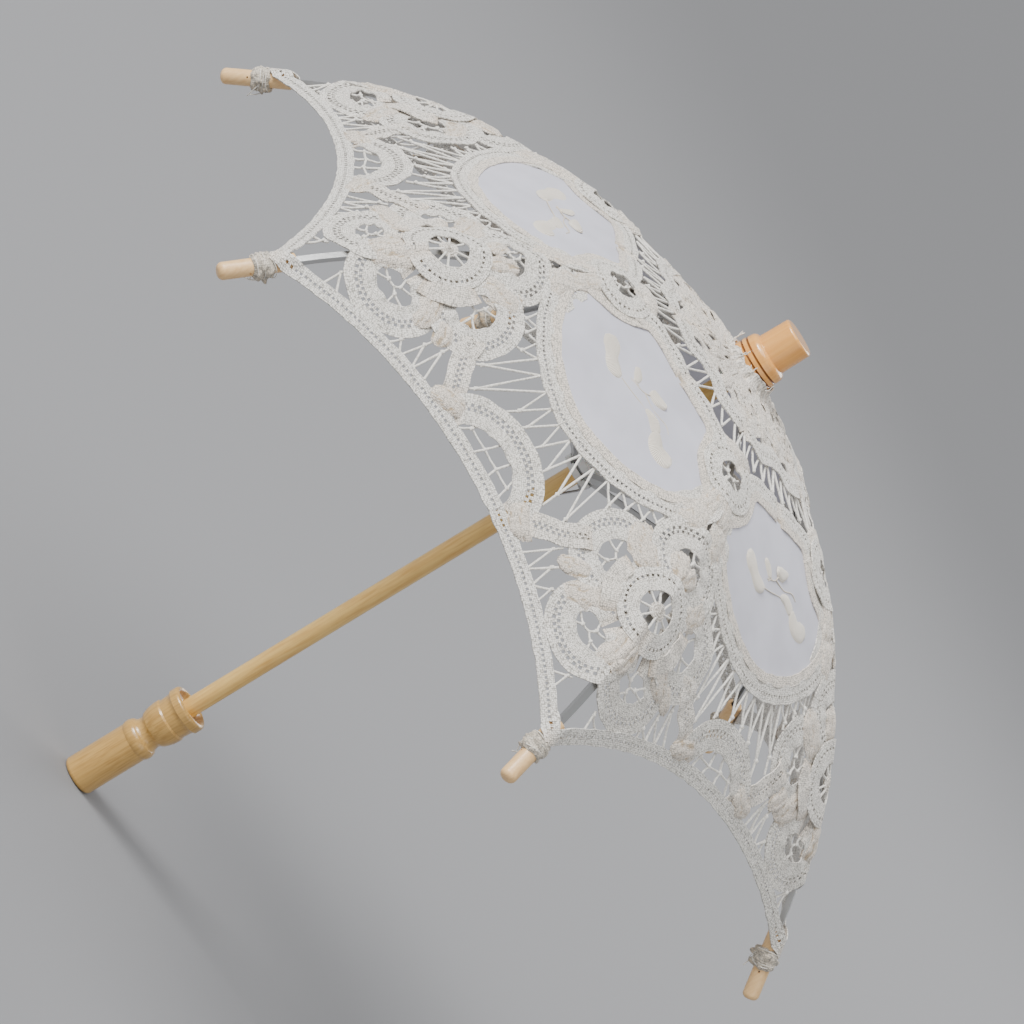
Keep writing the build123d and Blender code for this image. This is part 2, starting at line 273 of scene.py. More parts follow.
def turned_wood(name, pale, dark, grain_mm, roughness, coat, grooves=()):
    """Close-grained wood turned on a lathe and varnished: long faint grain, soft broad highlight.

    Turned grooves, at the given heights in mm, are darkened with painted shade.
    """
    material, tree, shader, place = new_material(name)
    along = mapped(tree, place, (1, 1, 0.07))
    tone = ramp(tree, cloudy(tree, along, 1000 / grain_mm, 4), (0.36, dark), (0.62, pale))
    colour = mixed(tree, cloudy(tree, place, 70, 2), tone, pale)
    height = add(tree, "ShaderNodeSeparateXYZ", {"Vector": place}).outputs["Z"]
    # painted shade: a dark band at each turned groove's height
    for groove in grooves:
        compared = {0: height, 1: groove * 0.001, 2: GROOVE_HALF}
        off = add(tree, "ShaderNodeMath", compared, operation="COMPARE").outputs["Value"]
        colour = mixed(tree, off, colour, "#8A5526")
    # lathe marks: fine rings across the grain
    grain = cloudy(tree, along, 1000 / grain_mm, 4, "Color")
    marks = cloudy(tree, mapped(tree, place, (0.1, 0.1, 1)), 1400, 1, "Color")
    varnish = {"Roughness": roughness, "IOR": 1.5, "Coat Weight": coat, "Coat Roughness": 0.18}
    height = mixed(tree, 0.5, grain, marks)
    finish_shader(tree, shader, height, 0.0002, 0.25, {"Base Color": colour, **varnish})
    return material


def drawn_steel(name, colour, roughness):
    """Bright steel strip, rolled or drawn: fine lengthwise lines that spread the highlight."""
    material, tree, shader, place = new_material(name)
    lines = cloudy(tree, place, 900, 3)
    spread = {"Value": lines, "To Min": roughness - 0.08, "To Max": roughness + 0.12}
    rough = add(tree, "ShaderNodeMapRange", spread).outputs["Result"]
    metal = {"Base Color": colour, "Metallic": 1.0, "Roughness": rough}
    finish_shader(tree, shader, lines, 0.00005, 0.3, metal)
    return material


def moulded_plastic(name, colour):
    """White moulded plastic: glossy, faintly milky, with slight sink marks from the mould."""
    material, tree, shader, place = new_material(name)
    sink = cloudy(tree, place, 160, 1)
    shade = ramp(tree, sink, (0.3, "#DAD9D3"), (0.7, colour))
    milky = {"Roughness": 0.24, "IOR": 1.49, "Subsurface Weight": 0.1, "Subsurface Scale": 0.002}
    finish_shader(tree, shader, sink, 0.0003, 0.2, {"Base Color": shade, **milky})
    return material


def woven_tape(name, pale, worn):
    """Machine-woven cotton lace tape: an open mesh of fine threads that shows as pale and grey
    specks, with painted shade in the mesh's holes, and ecru where the tape is folded double. The
    darkest tone is painted shade, for creases and undersides. The weave is drawn at 0.75 mm, about
    one and a half times its real spacing, so that it shows."""
    material, tree, shader, place = new_material(name)
    weave = {"Vector": weave_uv(tree), "Scale": 1 / 0.75, "Randomness": 0.5}
    threads = add(tree, "ShaderNodeTexVoronoi", weave).outputs["Distance"]
    open_mesh = {"Value": threads, "From Min": 0.4, "From Max": 0.75}
    hole_shade = add(tree, "ShaderNodeMapRange", open_mesh).outputs["Result"]
    fuzz = cloudy(tree, place, 1900, 2)
    ecru_and_shade = add(tree, "ShaderNodeAttribute", attribute_name="ecru_and_shade").outputs["Fac"]
    ecru = add(tree, "ShaderNodeMapRange", {"Value": ecru_and_shade, "From Max": 0.6}).outputs["Result"]
    cream = mixed(tree, cloudy(tree, place, 55, 3), pale, "#EFEBE2")
    # the darkest stop is painted shade, reached in pleat creases, gather valleys and wad undersides
    ecru_and_shade_tone = ramp(tree, ecru_and_shade, (0.0, worn), (0.62, worn), (1.0, "#C6AD8B"))
    speck = ramp(tree, fuzz, (0.32, "#BEB8AE"), (0.56, "#FFFFFF"))
    mottled = mixed(tree, 0.6, mixed(tree, ecru, cream, ecru_and_shade_tone), speck, "MULTIPLY")
    # painted shade: dark grey pits where the open mesh's holes are
    colour = mixed(tree, hole_shade, mottled, "#8E8A82")
    height = mixed(tree, 0.35, threads, fuzz)
    finish_shader(tree, shader, height, 0.0005, 0.7, {"Base Color": colour, **COTTON})
    return material


def twisted_thread(name, colour):
    """Twisted cotton thread: slightly shiny, with the twist's slanting lines."""
    material, tree, shader, place = new_material(name)
    twist = cloudy(tree, place, 1300, 2)
    shade = ramp(tree, twist, (0.3, "#CFCABF"), (0.6, colour))
    finish_shader(tree, shader, twist, 0.0004, 0.6, {"Base Color": shade, **COTTON})
    return material


def cotton_lawn(name, colour):
    """Fine plain-woven cotton lawn: smooth, cool white, with a hair-fine weave, and darker blotches of
    painted shade for soft creases.
    """
    material, tree, shader, place = new_material(name)
    wave = {"Vector": weave_uv(tree), "Scale": 0.9, "Distortion": 0.4}
    warp, weft = (add(tree, "ShaderNodeTexWave", wave, bands_direction=way).outputs["Fac"] for way in "XY")
    weave = mixed(tree, 0.5, warp, weft)
    # painted shade: darker blotches stand in for the shade of soft creases
    shade = ramp(tree, cloudy(tree, place, 60, 2), (0.3, "#C6C5D0"), (0.7, colour))
    colours = {"Base Color": mixed(tree, 0.12, shade, weave, "MULTIPLY")}
    finish_shader(tree, shader, weave, 0.0001, 0.35, {**colours, **COTTON})
    return material


def satin_stitch(name, colour):
    """Embroidery floss laid side by side over padding: silky, with fine parallel lines."""
    material, tree, shader, _ = new_material(name)
    wave = {"Vector": weave_uv(tree), "Scale": 0.6, "Distortion": 1.6, "Detail": 2}
    lines = add(tree, "ShaderNodeTexWave", wave).outputs["Fac"]
    shade = ramp(tree, lines, (0.0, "#D6C9B4"), (0.6, colour))
    silk = {"Base Color": shade, "Roughness": 0.55, "Sheen Weight": 0.35}
    finish_shader(tree, shader, lines, 0.0004, 0.6, silk)
    return material


def painted_floor(name, colour):
    """Matt studio paper: plain, with no highlight."""
    material, tree, shader, _ = new_material(name)
    feed(tree, shader, {"Base Color": colour, "Roughness": 0.9})
    return material


# --- flat tracks --------------------------------------------------------------------------------
def between(low, high, steps):
    """Evenly spaced numbers from low to high."""
    return [low + (high - low) * number / steps for number in range(steps + 1)]


def arc(middle, radius, start, end, steps):
    """Points on an arc or ellipse about a flat (run, side) middle; degrees from the run's direction."""
    deep, wide = radius if isinstance(radius, tuple) else (radius, radius)
    angles = [math.radians(angle) for angle in between(start, end, steps)]
    return [Vector((middle[0] + deep * math.cos(at), middle[1] + wide * math.sin(at))) for at in angles]


def smooth_line(points, each=10):
    """A Catmull-Rom line through given flat points."""
    points = [Vector(p) for p in points]
    padded = [2 * points[0] - points[1], *points, 2 * points[-1] - points[-2]]
    made = []
    for a, b, c, d in zip(padded, padded[1:], padded[2:], padded[3:]):
        for number in range(each):
            t = number / each
            curve = 2 * b + (c - a) * t + (2 * a - 5 * b + 4 * c - d) * t**2
            made.append((curve + (3 * b - a - 3 * c + d) * t**3) / 2)
    return [*made, points[-1]]


class Track:
    """A flat line that gives the point and the left-hand normal at any distance along it."""

    def __init__(self, points):
        self.points = points
        self.reach = [0.0]
        for a, b in zip(points, points[1:]):
            self.reach.append(self.reach[-1] + (b - a).length)
        self.length = self.reach[-1]

    def at(self, distance):
        spot = min(max(bisect.bisect_left(self.reach, distance), 1), len(self.points) - 1)
        a, b = self.points[spot - 1], self.points[spot]
        span = max(self.reach[spot] - self.reach[spot - 1], 1e-9)
        here = a.lerp(b, (distance - self.reach[spot - 1]) / span)
        way = (b - a).normalized()
        return here, Vector((-way.y, way.x))


def moved_left(points, distance):
    """The same line moved to its left."""
    track = Track(points)
    moved = []
    for reach in track.reach:
        here, left = track.at(reach)
        moved.append(here + left * distance)
    return moved


# --- tape, thread and cloth ---------------------------------------------------------------------
SELVEDGE = 0.8                   # width of a tape's plain edge
ANY_PHASE = 6.28                 # random phases lie between 0 and a whole turn
TUCK, TUCK_RUN = 1.1, 3.5        # how deep a tape's ends go under, and over what length
WORN_RUN = 5.0                   # length of a tape's end that has yellowed
CREASE = 0.45                    # height of a fold's creases


def cloth_mesh():
    """An empty bmesh with its weave coordinates and its layer of ecru and painted shade: how doubled the
    cloth is, with painted shade in creases and undersides.
    """
    bm = bmesh.new()
    return bm, bm.loops.layers.uv.new("weave"), bm.verts.layers.float.new("ecru_and_shade")


def set_uv(vert, uv, along, across):
    for loop in vert.link_loops:
        loop[uv].uv = (along, across)


def any_seed(draw, most):
    """A random place in the noise, so that no two pieces crumple alike."""
    return Vector((draw.uniform(0, most), draw.uniform(0, most), 0))


class Lace:
    """One part of the pattern while it is laid: its tapes, and the thread bars as centre lines."""

    def __init__(self, draw, sizes):
        self.draw = draw
        self.bar_radius = millimetres(sizes.bar_radius)
        self.ring_tape = millimetres(sizes.ring_tape)
        self.petal_tape = millimetres(sizes.petal_tape)
        self.rim_tape = millimetres(sizes.rim_tape)
        self.frame_tape = millimetres(sizes.frame_tape)
        self.tapes, self.uv, self.ecru_and_shade = cloth_mesh()
        self.bars = []

    def bar(self, place, start, end, lift=0.0, dip=0.3):
        """A thread bar between two flat points, with a slight sag and unevenness."""
        line = []
        for part in (0, 0.25, 0.5, 0.75, 1):
            flat = start.lerp(end, part)
            sag = lift - dip * math.sin(math.pi * part) + self.draw.uniform(-0.12, 0.12)
            line.append((place(flat.x, flat.y, sag), self.bar_radius * self.draw.uniform(0.85, 1.12)))
        self.bars.append(line)

    def knot(self, place, flat, lift=0.1):
        """A small knot where bars meet."""
        size = self.draw.uniform(0.8, 1.15)
        ends = [place(flat[0] + along, flat[1] + 0.3 * along, lift) for along in (-size, 0, size)]
        self.bars.append([(ends[0], 0.25), (ends[1], size), (ends[2], 0.25)])


def edges_of_columns(width, rows, hole, shift):
    """Places across a tape where its columns meet, and which columns are ladders of holes."""
    half = width / 2
    inner, outer = shift - 0.2, shift + 0.2
    middle, ladder = (
        ((-half / 3, half / 3), ()),
        ((shift - hole / 2, shift + hole / 2), (2,)),
        ((inner - hole, inner, outer, outer + hole), (2, 4)),
    )[rows]
    return [-half, -half + SELVEDGE, *middle, half - SELVEDGE, half], ladder


def tape(
    lace, points, place, width, rows=1, pitch=2.1, hole=1.1, shift=0.0, lift=0.0, ruffle=0.3, aged=0.08
):
    """Lays a ladder tape along a flat line: a grid whose ladder cells are taken out, then placed.

    `place` turns (run, side, lift) into a point. `aged` says how ecru the tape is; its ends, which
    are folded under, are more so.
    """
    bm, draw = lace.tapes, lace.draw
    track = Track(points)
    count = max(int(track.length / pitch), 2)
    columns, ladder = edges_of_columns(width, rows, hole, shift)
    steps, strips = 2 * count, len(columns) - 1
    sheet = bmesh.ops.create_grid(bm, x_segments=steps, y_segments=strips, size=0.5)["verts"]
    spots = {vert: (round((vert.co.x + 0.5) * steps), round((vert.co.y + 0.5) * strips)) for vert in sheet}
    holes = []
    for face in {face for vert in sheet for face in vert.link_faces}:
        step = min(spots[vert][0] for vert in face.verts)
        column = min(spots[vert][1] for vert in face.verts)
        if column in ladder and (step + ladder.index(column)) % 2 and 1 < step < steps - 2:
            holes.append(face)
        for loop in face.loops:
            loop[lace.uv].uv = (spots[loop.vert][0] * pitch / 2, columns[spots[loop.vert][1]])
    phase, wave = draw.uniform(0, ANY_PHASE), draw.uniform(0.35, 0.6)
    tilt = draw.uniform(-0.05, 0.05)
    seed = any_seed(draw, 90)
    for vert, (step, column) in spots.items():
        distance = track.length * step / steps
        here, left = track.at(distance)
        across = columns[column]
        share = abs(across) / (width / 2)
        ragged = 0.45 * share * noise.noise(Vector((distance * 0.22, across, 0)) + seed)
        flat = here + left * (across + ragged)
        wavy = ruffle * share * math.sin(distance * wave + phase + (1.5 if across > 0 else 0))
        end = min(distance, track.length - distance)
        tucked = TUCK * max(0.0, 1 - end / TUCK_RUN)
        vert.co = place(flat.x, flat.y, lift + wavy + tilt * across - tucked)
        vert[lace.ecru_and_shade] = min(1.0, aged + max(0.0, 1 - end / WORN_RUN) * 0.5)
    bmesh.ops.delete(bm, geom=holes, context="FACES_ONLY")


def pleat(lace, place, middle, angle, length, width, aged=0.85, lift=0.8):
    """A strip of tape folded over and stitched down: rounded, ragged, with creases along it."""
    bm, draw = lace.tapes, lace.draw
    cells = (max(int(length / 1.1), 7), 14)
    patch = bmesh.ops.create_grid(bm, x_segments=cells[0], y_segments=cells[1], size=0.5)["verts"]
    seed = any_seed(draw, 90)
    turn = Matrix.Rotation(math.radians(angle), 2)
    creases, phase = draw.uniform(5.0, 9.0), draw.uniform(0, ANY_PHASE)
    bend = draw.uniform(-0.14, 0.14)
    for vert in patch:
        u, v = vert.co.x * 2, vert.co.y * 2
        ragged = noise.noise(Vector((u * length * 0.13, v * 1.3, 0)) + seed)
        fine = noise.noise(Vector((u * length * 0.45, v * 5, 3)) + seed)
        wide = width / 2 * (1 - 0.5 * abs(u) ** 4) * (1 + 0.3 * ragged)
        flat = Vector((u * length / 2 * (1 + 0.16 * fine - 0.12 * v * v), v * wide + bend * length * u * u))
        set_uv(vert, lace.uv, flat.x * 1.3, flat.y * 1.3)
        edge = min(1.0, 2.2 * (1 - abs(v)), 2.2 * (1 - abs(u)))
        crease = abs(math.sin(creases * v / 2 + phase + 1.9 * ragged + 0.7 * u)) ** 0.7
        flat = turn @ flat
        rise = lift * (0.35 + 0.65 * edge) + CREASE * edge * crease
        vert.co = place(middle[0] + flat.x, middle[1] + flat.y, rise)
        # painted shade: darker in the valleys between the creases, over the pleat's ecru
        vert[lace.ecru_and_shade] = aged * (0.65 if crease > 0.35 else 1.15) + 0.1 * fine


def zigzag(lace, place, first, second, count):
    """Thread bars to and fro between two tracks, as in needle-lace filling."""
    draw = lace.draw
    for number in range(count):
        a, _ = first.at(first.length * (number + draw.uniform(0.35, 0.65)) / count)
        b, _ = second.at(second.length * (number + draw.uniform(0.0, 0.2)) / count)
        c, _ = second.at(second.length * (number + 1 - draw.uniform(0.0, 0.2)) / count)
        a = a + (a - b).normalized() * BAR_HOLD
        lace.bar(place, b, a)
        lace.bar(place, a, c)
        if draw.random() < 0.5:
            lace.knot(place, a - (a - b).normalized() * draw.uniform(1.5, 3.0))


def branching(lace, place, middle, size):
    """Y-shaped thread bars that fill a hole: three arms from a knot or two out to the tape."""
    draw = lace.draw
    deep, wide = size

    def outward(angle):
        return Vector((math.cos(angle) * deep, math.sin(angle) * wide))

    start = draw.uniform(0, 360)
    middle = Vector(middle)
    heart = middle + Vector((draw.uniform(-1, 1) * deep, draw.uniform(-1, 1) * wide)) * 0.12
    for number in range(3):
        angle = math.radians(start + 120 * number + draw.uniform(-14, 14))
        split = heart + outward(angle) * draw.uniform(0.35, 0.5)
        lace.bar(place, heart, split)
        for lean in (-0.38, 0.42):
            lace.bar(place, split, middle + outward(angle + lean))
        lace.knot(place, split)


def rosette(lace, place, middle, size):
    """A small wheel woven round the crossing of the spokes: a domed disc with raised rounds."""
    bm, draw = lace.tapes, lace.draw
    rings = bmesh.ops.create_grid(bm, x_segments=22, y_segments=6, size=0.5)["verts"]
    phase = draw.uniform(0, 6)
    for vert in rings:
        spin = (vert.co.x + 0.5) * 2 * math.pi
        reach = size * (0.04 + 0.96 * (vert.co.y + 0.5))
        rounds = 0.25 * math.cos(reach * 5.2) + 0.15 * math.sin(9 * spin + phase)
        lift = 1.3 + rounds - 0.09 * reach**2 / size
        set_uv(vert, lace.uv, reach * 2.2, spin * 3)
        vert.co = place(middle[0] + reach * math.cos(spin), middle[1] + reach * math.sin(spin), lift)
        vert[lace.ecru_and_shade] = 0.3
    bmesh.ops.remove_doubles(bm, verts=rings, dist=0.02)


# --- the lace's pattern -------------------------------------------------------------------------
FLOWER_RUN = 161.0               # a flower's middle, along its rib
FLOWER_RING = 12.9               # its ring's radius, to the tape's middle
RING_RUN = 80.0                  # the small ring between two medallions, along its rib
SCALLOP_WIDE = 23.0              # half the width of a scallop, to the tape's middle
CLOTH_MIDDLE = 28.0              # a medallion's middle below its top edge
CLOTH_TOP = 19.0                 # bend, in degrees, of a medallion's straight top edge
PETAL_LADDER = {"pitch": 2.4, "hole": 1.35}
BAR_HOLD = 0.6                   # how far a thread bar reaches under a tape
PETALS = (                       # from the flower's middle: run, side, and the loop's two half-widths
    (25.5, 15.0, 12.0, 15.0),
    (25.5, -15.0, 11.6, 14.2),
    (-7.0, 25.5, 13.4, 15.0),
    (-7.0, -25.5, 12.8, 14.4),
    (-27.5, 1.5, 11.4, 14.4),
)
FOLDS = (                        # folds between the petals: angle from the peg's way, reach, length, width
    (4, 24, 18, 9),
    (64, 27, 22, 10),
    (74, 36, 12, 8),
    (136, 26, 21, 11),
    (172, 23, 13, 8),
)
CLOTH_OUTLINE = (                # half of a medallion's edge: run from its top edge, and side
    (0.0, 0.0), (-0.6, 12.0), (0.2, 21.5), (4.5, 24.6), (10.5, 27.4), (16.0, 32.0), (20.0, 38.5),
    (24.0, 45.0), (29.5, 46.6), (38.0, 42.5), (47.0, 35.0), (54.5, 24.5), (59.5, 12.0), (61.5, 0.0),
)


def placing(on_surface, turn):
    """Gives place(run, side, lift): the point of a panel or beside a rib, lifted clear of the pegs."""
    def place(run, side, lift):
        point = on_surface(turn, run, side, lift)
        return point + near_peg(point)
    return place


def spun_place(place, middle, spin):
    """The same placing, for a pattern drawn about its own middle and then spun."""
    def placed(run, side, lift):
        flat = middle + spin @ Vector((run, side))
        return place(flat.x, flat.y, lift)
    return placed


def flower(lace, turn):
    """The motif on a rib: a ring with a woven rosette, and loops of tape tucked under it all round."""
    place, draw = placing(on_rib, turn), lace.draw
    heart = Vector((FLOWER_RUN, draw.uniform(-1, 1)))
    for at, (run, side, deep, wide) in enumerate(PETALS):
        middle = heart + Vector((run + draw.uniform(-1, 1), side + draw.uniform(-1, 1)))
        out = math.degrees(math.atan2(side, run))
        spin = Matrix.Rotation(math.radians(out), 2)
        gap = draw.uniform(2, 8)
        loop = [middle + spin @ point for point in arc((0, 0), (deep, wide), 180 + gap, 540 - gap, 52)]
        shift, lift = -draw.uniform(0.4, 1.6), 0.35 + 0.3 * (at % 3)
        width = lace.petal_tape
        tape(lace, loop, place, width, 2, **PETAL_LADDER, shift=shift, lift=lift, ruffle=0.45)
        hole = (deep - width / 2 + BAR_HOLD, wide - width / 2 + BAR_HOLD)
        branching(lace, spun_place(place, middle, spin), (0, 0), hole)
    tape(lace, arc(heart, FLOWER_RING, 8, 368, 72), place, lace.ring_tape, shift=-1.2, lift=1.6)
    inner = FLOWER_RING - lace.ring_tape / 2 + BAR_HOLD
    for number in range(9):
        angle = math.radians(40 * number + draw.uniform(-6, 6))
        way = Vector((math.cos(angle), math.sin(angle)))
        lace.bar(place, heart + way * 2.4, heart + way * inner, lift=1.1, dip=0.1)
    rosette(lace, place, heart, 3.6)
    flower_folds(lace, place, heart)


def flower_folds(lace, place, heart):
    """The ecru folds between a flower's loops, and the strip that hugs its ring."""
    draw = lace.draw
    hug = arc(heart, FLOWER_RING + 7.6, 46, 114, 24)
    for sign in (-1, 1):
        strip = [Vector((point.x, heart.y + sign * (point.y - heart.y))) for point in hug]
        tape(lace, strip, place, 7.6, 0, lift=2.0, ruffle=0.6, aged=0.3)
        for angle, reach, along, wide in FOLDS:
            way = math.radians(sign * (angle + draw.uniform(-6, 6)))
            middle = heart + Vector((math.cos(way), math.sin(way))) * reach
            lean = math.degrees(way) + draw.uniform(-22, 22)
            size = draw.uniform(0.9, 1.15)
            pleat(lace, place, middle, lean, along * size, wide * draw.uniform(0.85, 1.2), lift=1.1)


def small_ring(lace, turn):
    """The little ring on a rib between two medallions, with its folds."""
    place, draw = placing(on_rib, turn), lace.draw
    heart = Vector((RING_RUN + draw.uniform(-1, 1), draw.uniform(-1, 1)))
    radius = 10.6 + draw.uniform(-0.3, 0.3)
    tape(lace, arc(heart, radius, 170, 528, 64), place, 8.8, shift=-1.2, lift=1.6)
    branching(lace, place, heart, (radius - 3.8, radius - 3.8))
    pleat(lace, place, (heart.x - 15, heart.y), 90, 20, 8, lift=1.2, aged=0.6)
    for sign in (-1, 1):
        pleat(lace, place, (heart.x + 19, sign * 4), 14 * sign, 19, 9, lift=1.2, aged=0.75)
        pleat(lace, place, (heart.x + 33, sign * 7), 30 * sign, 18, 10, lift=1.0, aged=0.8)
        line = smooth_line([(heart.x + 9, sign * 5), (heart.x + 24, sign * 9), (heart.x + 38, sign * 20)])
        tape(lace, line, place, 9.0, lift=0.5)


def cloth_top_run():
    """Run of a medallion's top edge."""
    return run_of_bend(math.radians(CLOTH_TOP))


def cloth_edge(grow=0.0):
    """The medallion's closed edge in panel coordinates, grown outwards by a distance."""
    top = cloth_top_run()
    right = [(top + run, side) for run, side in CLOTH_OUTLINE]
    left = [(top + run, -side) for run, side in CLOTH_OUTLINE[1:-1][::-1]]
    loop = smooth_line([*right, *left, right[0]], 6)
    return moved_left(loop, grow) if grow else loop


def medallion_frame(lace, turn):
    """The hem and the ladder tape round a medallion's cloth."""
    place, draw = placing(on_panel, turn), lace.draw
    tape(lace, cloth_edge(1.4), place, 4.2, 0, pitch=2.6, lift=0.85, ruffle=0.12, aged=0.5)
    tape(lace, cloth_edge(6.4), place, lace.frame_tape, pitch=2.0, shift=0.8, lift=0.7)
    top = cloth_top_run()
    for sign in (-1, 1):
        pleat(lace, place, (top + 33, sign * 51), 30 * sign, 13, 9, aged=0.7, lift=1.2)
        if draw.random() < 0.7:
            pleat(lace, place, (top + 4, sign * 29), 55 * sign, 11, 6, aged=0.6, lift=1.1)


def rim_line(low, high, steps, inwards):
    """The rim's edge between two sides, moved inwards."""
    return moved_left([Vector((rim_run(side), side)) for side in between(low, high, steps)], inwards)


def rim(lace, turn):
    """The rim's tape from peg to peg, and the scallop in its middle with its bands."""
    place, draw = placing(on_panel, turn), lace.draw
    reach = RIM_RIB_R / 2 - 1.6
    edge = rim_line(-reach, reach, 80, lace.rim_tape / 2)
    tape(lace, edge, place, lace.rim_tape, lift=0.7, ruffle=0.12, aged=0.02)
    foot = rim_run(0) - lace.rim_tape
    scallop = arc((foot + 1.5, draw.uniform(-1, 1)), (18.2, SCALLOP_WIDE), 96, 264, 60)
    tape(lace, scallop, place, lace.petal_tape, 2, **PETAL_LADDER, shift=-0.8, lift=0.9, ruffle=0.35)
    knots = []
    for side in (-12.5, -4.5, 4, 12):
        knots.append(Vector((foot - 4.5 + draw.uniform(-1, 1), side + draw.uniform(-1, 1))))
    ends = ((-14, -12), (-5, -4), (5, 4), (14, 11))
    for number, (spot, (low, high)) in enumerate(zip(knots, ends)):
        lace.bar(place, spot, Vector((foot - 2, low)) + Vector((3, draw.uniform(-1.5, 1.5))))
        lace.bar(place, spot, Vector((foot - 9.5, high)) + Vector((-1.5, draw.uniform(-1, 2))))
        if number:
            lace.bar(place, spot, knots[number - 1])
        lace.knot(place, spot)
    for sign in (-1, 1):
        pleat(lace, place, (foot - 1.5, sign * 26), 90 - 25 * sign, 16, 9, lift=1.5)
        spots = ((4, 27), (11, 34), (17, 39), (26, 44))
        band = smooth_line([(foot - up, sign * side) for up, side in spots])
        tape(lace, band, place, 9.5, 2, pitch=2.2, lift=1.2, aged=0.25, ruffle=0.45)


def reach_of_bar(place, trees, start, way, most):
    """How far a bar from `start` runs along `way` before it meets a tape; 0 if it meets none."""
    reach = 2.6
    while reach < most:
        spot = start + way * reach
        if abs(spot.y) > plan_radius(bend_of_run(spot.x)) / 2:
            return 0.0
        point = place(spot.x, spot.y, 0.8)
        if any(tree.find_nearest(point, 1.0)[0] is not None for tree in trees):
            return reach
        reach += 0.7
    return 0.0


def web(lace, place, trees, line, step, most):
    """Zigzag bars from the left of a line to whatever tape lies there, each tied to the one before."""
    draw = lace.draw
    track = Track(line)
    count = int(track.length / step)
    for number in range(count):
        start, _ = track.at(track.length * number / count)
        end, _ = track.at(track.length * (number + 1) / count)
        middle, left = track.at(track.length * (number + draw.uniform(0.35, 0.65)) / count)
        reach = reach_of_bar(place, trees, middle, left, most)
        if reach < 3.2:
            continue
        far = middle + left * (reach + 0.8)
        lace.bar(place, start - left * BAR_HOLD, far)
        tied = far.lerp(start, draw.uniform(0.05, 0.32))
        lace.bar(place, tied, end - left * BAR_HOLD)
        lace.knot(place, tied)


def fill_gaps(lace, turn, trees):
    """Webs of thread bars outside a medallion's frame and inside the rim."""
    place = placing(on_panel, turn)
    top = cloth_top_run()
    below_top = [point for point in cloth_edge(9.8) if point.x > top + 4]
    web(lace, place, trees, below_top, 6.8, 34)
    most = RIM_RIB_R / 2 - 8
    for low, high in ((-most, -SCALLOP_WIDE), (SCALLOP_WIDE, most)):
        web(lace, place, trees, rim_line(low, high, 30, lace.rim_tape - 0.4), 6.4, 30)


def crown_rings(lace, turn):
    """Above a medallion: its top tape, a web, a ring of ladder tape, a second web, the gathers."""
    place, draw = placing(on_panel, turn), lace.draw

    def across(bend_run, wave):
        shares = between(-1, 1, 40)
        waves = [wave * math.cos(math.pi * share * 2) for share in shares]
        return [Vector(ring_round(bend_run + up, share)) for up, share in zip(waves, shares)]

    tape(lace, across(47.5, -2.2), place, 9.0, 2, pitch=1.9, hole=0.9, lift=0.8)
    tape(lace, across(30.0, 1.4), place, 7.5, pitch=1.8, lift=1.0, aged=0.3)
    tape(lace, across(38.5, 2.0), place, 7.0, 0, pitch=2.4, lift=0.5, aged=0.35, ruffle=0.6)
    zigzag(lace, place, Track(across(64.5, 1.2)), Track(across(51.0, -2.2)), 8)
    for number in range(7):
        share = -0.86 + 0.286 * number + draw.uniform(-0.05, 0.05)
        low_run, low_side = ring_round(6.8, share)
        run, side = ring_round(draw.uniform(26, 31), share + draw.uniform(-0.12, 0.12))
        line = smooth_line([(low_run, low_side), ((run + low_run) / 2, (side + low_side) / 2), (run, side)])
        odd = number % 2
        tape(lace, line, place, 6.2, odd, pitch=1.9, hole=0.8, lift=1.0 + 0.5 * odd, ruffle=0.8, aged=0.3)
    for _ in range(5):
        spot = ring_round(draw.uniform(14, 36), draw.uniform(-0.8, 0.8))
        pleat(lace, place, spot, draw.uniform(-30, 30), draw.uniform(11, 17), 6, aged=0.6, lift=1.4)


# --- pieces from the pattern --------------------------------------------------------------------
SHARP = math.radians(55)         # edges bent more than this keep a crisp line
HEART = Vector((0, 0, 0.22))     # what the lights point at


def turns():
    """Each rib's number and direction."""
    return [(number + 1, number * RIB_STEP) for number in range(RIBS)]


def mesh_of_bars(bars):
    """A bmesh of the thread bars: a curve bevelled round each centre line, turned to a mesh."""
    curve = bpy.data.curves.new("bars", "CURVE")
    curve.dimensions = "3D"
    curve.bevel_depth = 1.0
    curve.bevel_resolution = 1
    curve.use_fill_caps = True
    for line in bars:
        spline = curve.splines.new("POLY")
        spline.points.add(len(line) - 1)
        for point, (place, radius) in zip(spline.points, line):
            point.co = (*place, 1)
            point.radius = radius
    holder = bpy.data.objects.new("bars", curve)
    mesh = bpy.data.meshes.new_from_object(holder)
    bm = bmesh.new()
    bm.from_mesh(mesh)
    bpy.data.objects.remove(holder)
    bpy.data.meshes.remove(mesh)
    bpy.data.curves.remove(curve)
    return bm


def put(name, data):
    """A new object of the scene, at the origin."""
    made = bpy.data.objects.new(name, data)
    bpy.context.scene.collection.objects.link(made)
    return made


def finished_object(bm, name, material, thickness=0.0):
    """A mesh object at the origin, in metres, from a bmesh in millimetres; a sheet gets its wall."""
    bmesh.ops.scale(bm, vec=(0.001, 0.001, 0.001), verts=bm.verts)
    mesh = bpy.data.meshes.new(name)
    bm.to_mesh(mesh)
    bm.free()
    mesh.materials.append(material)
    mesh.shade_smooth()
    made = put(name, mesh)
    if thickness:
        wall = made.modifiers.new("wall", "SOLIDIFY")
        wall.thickness = thickness
        wall.offset = 0.0
        crisp = made.modifiers.new("crisp edges", "EDGE_SPLIT")
        crisp.split_angle = SHARP
    return made


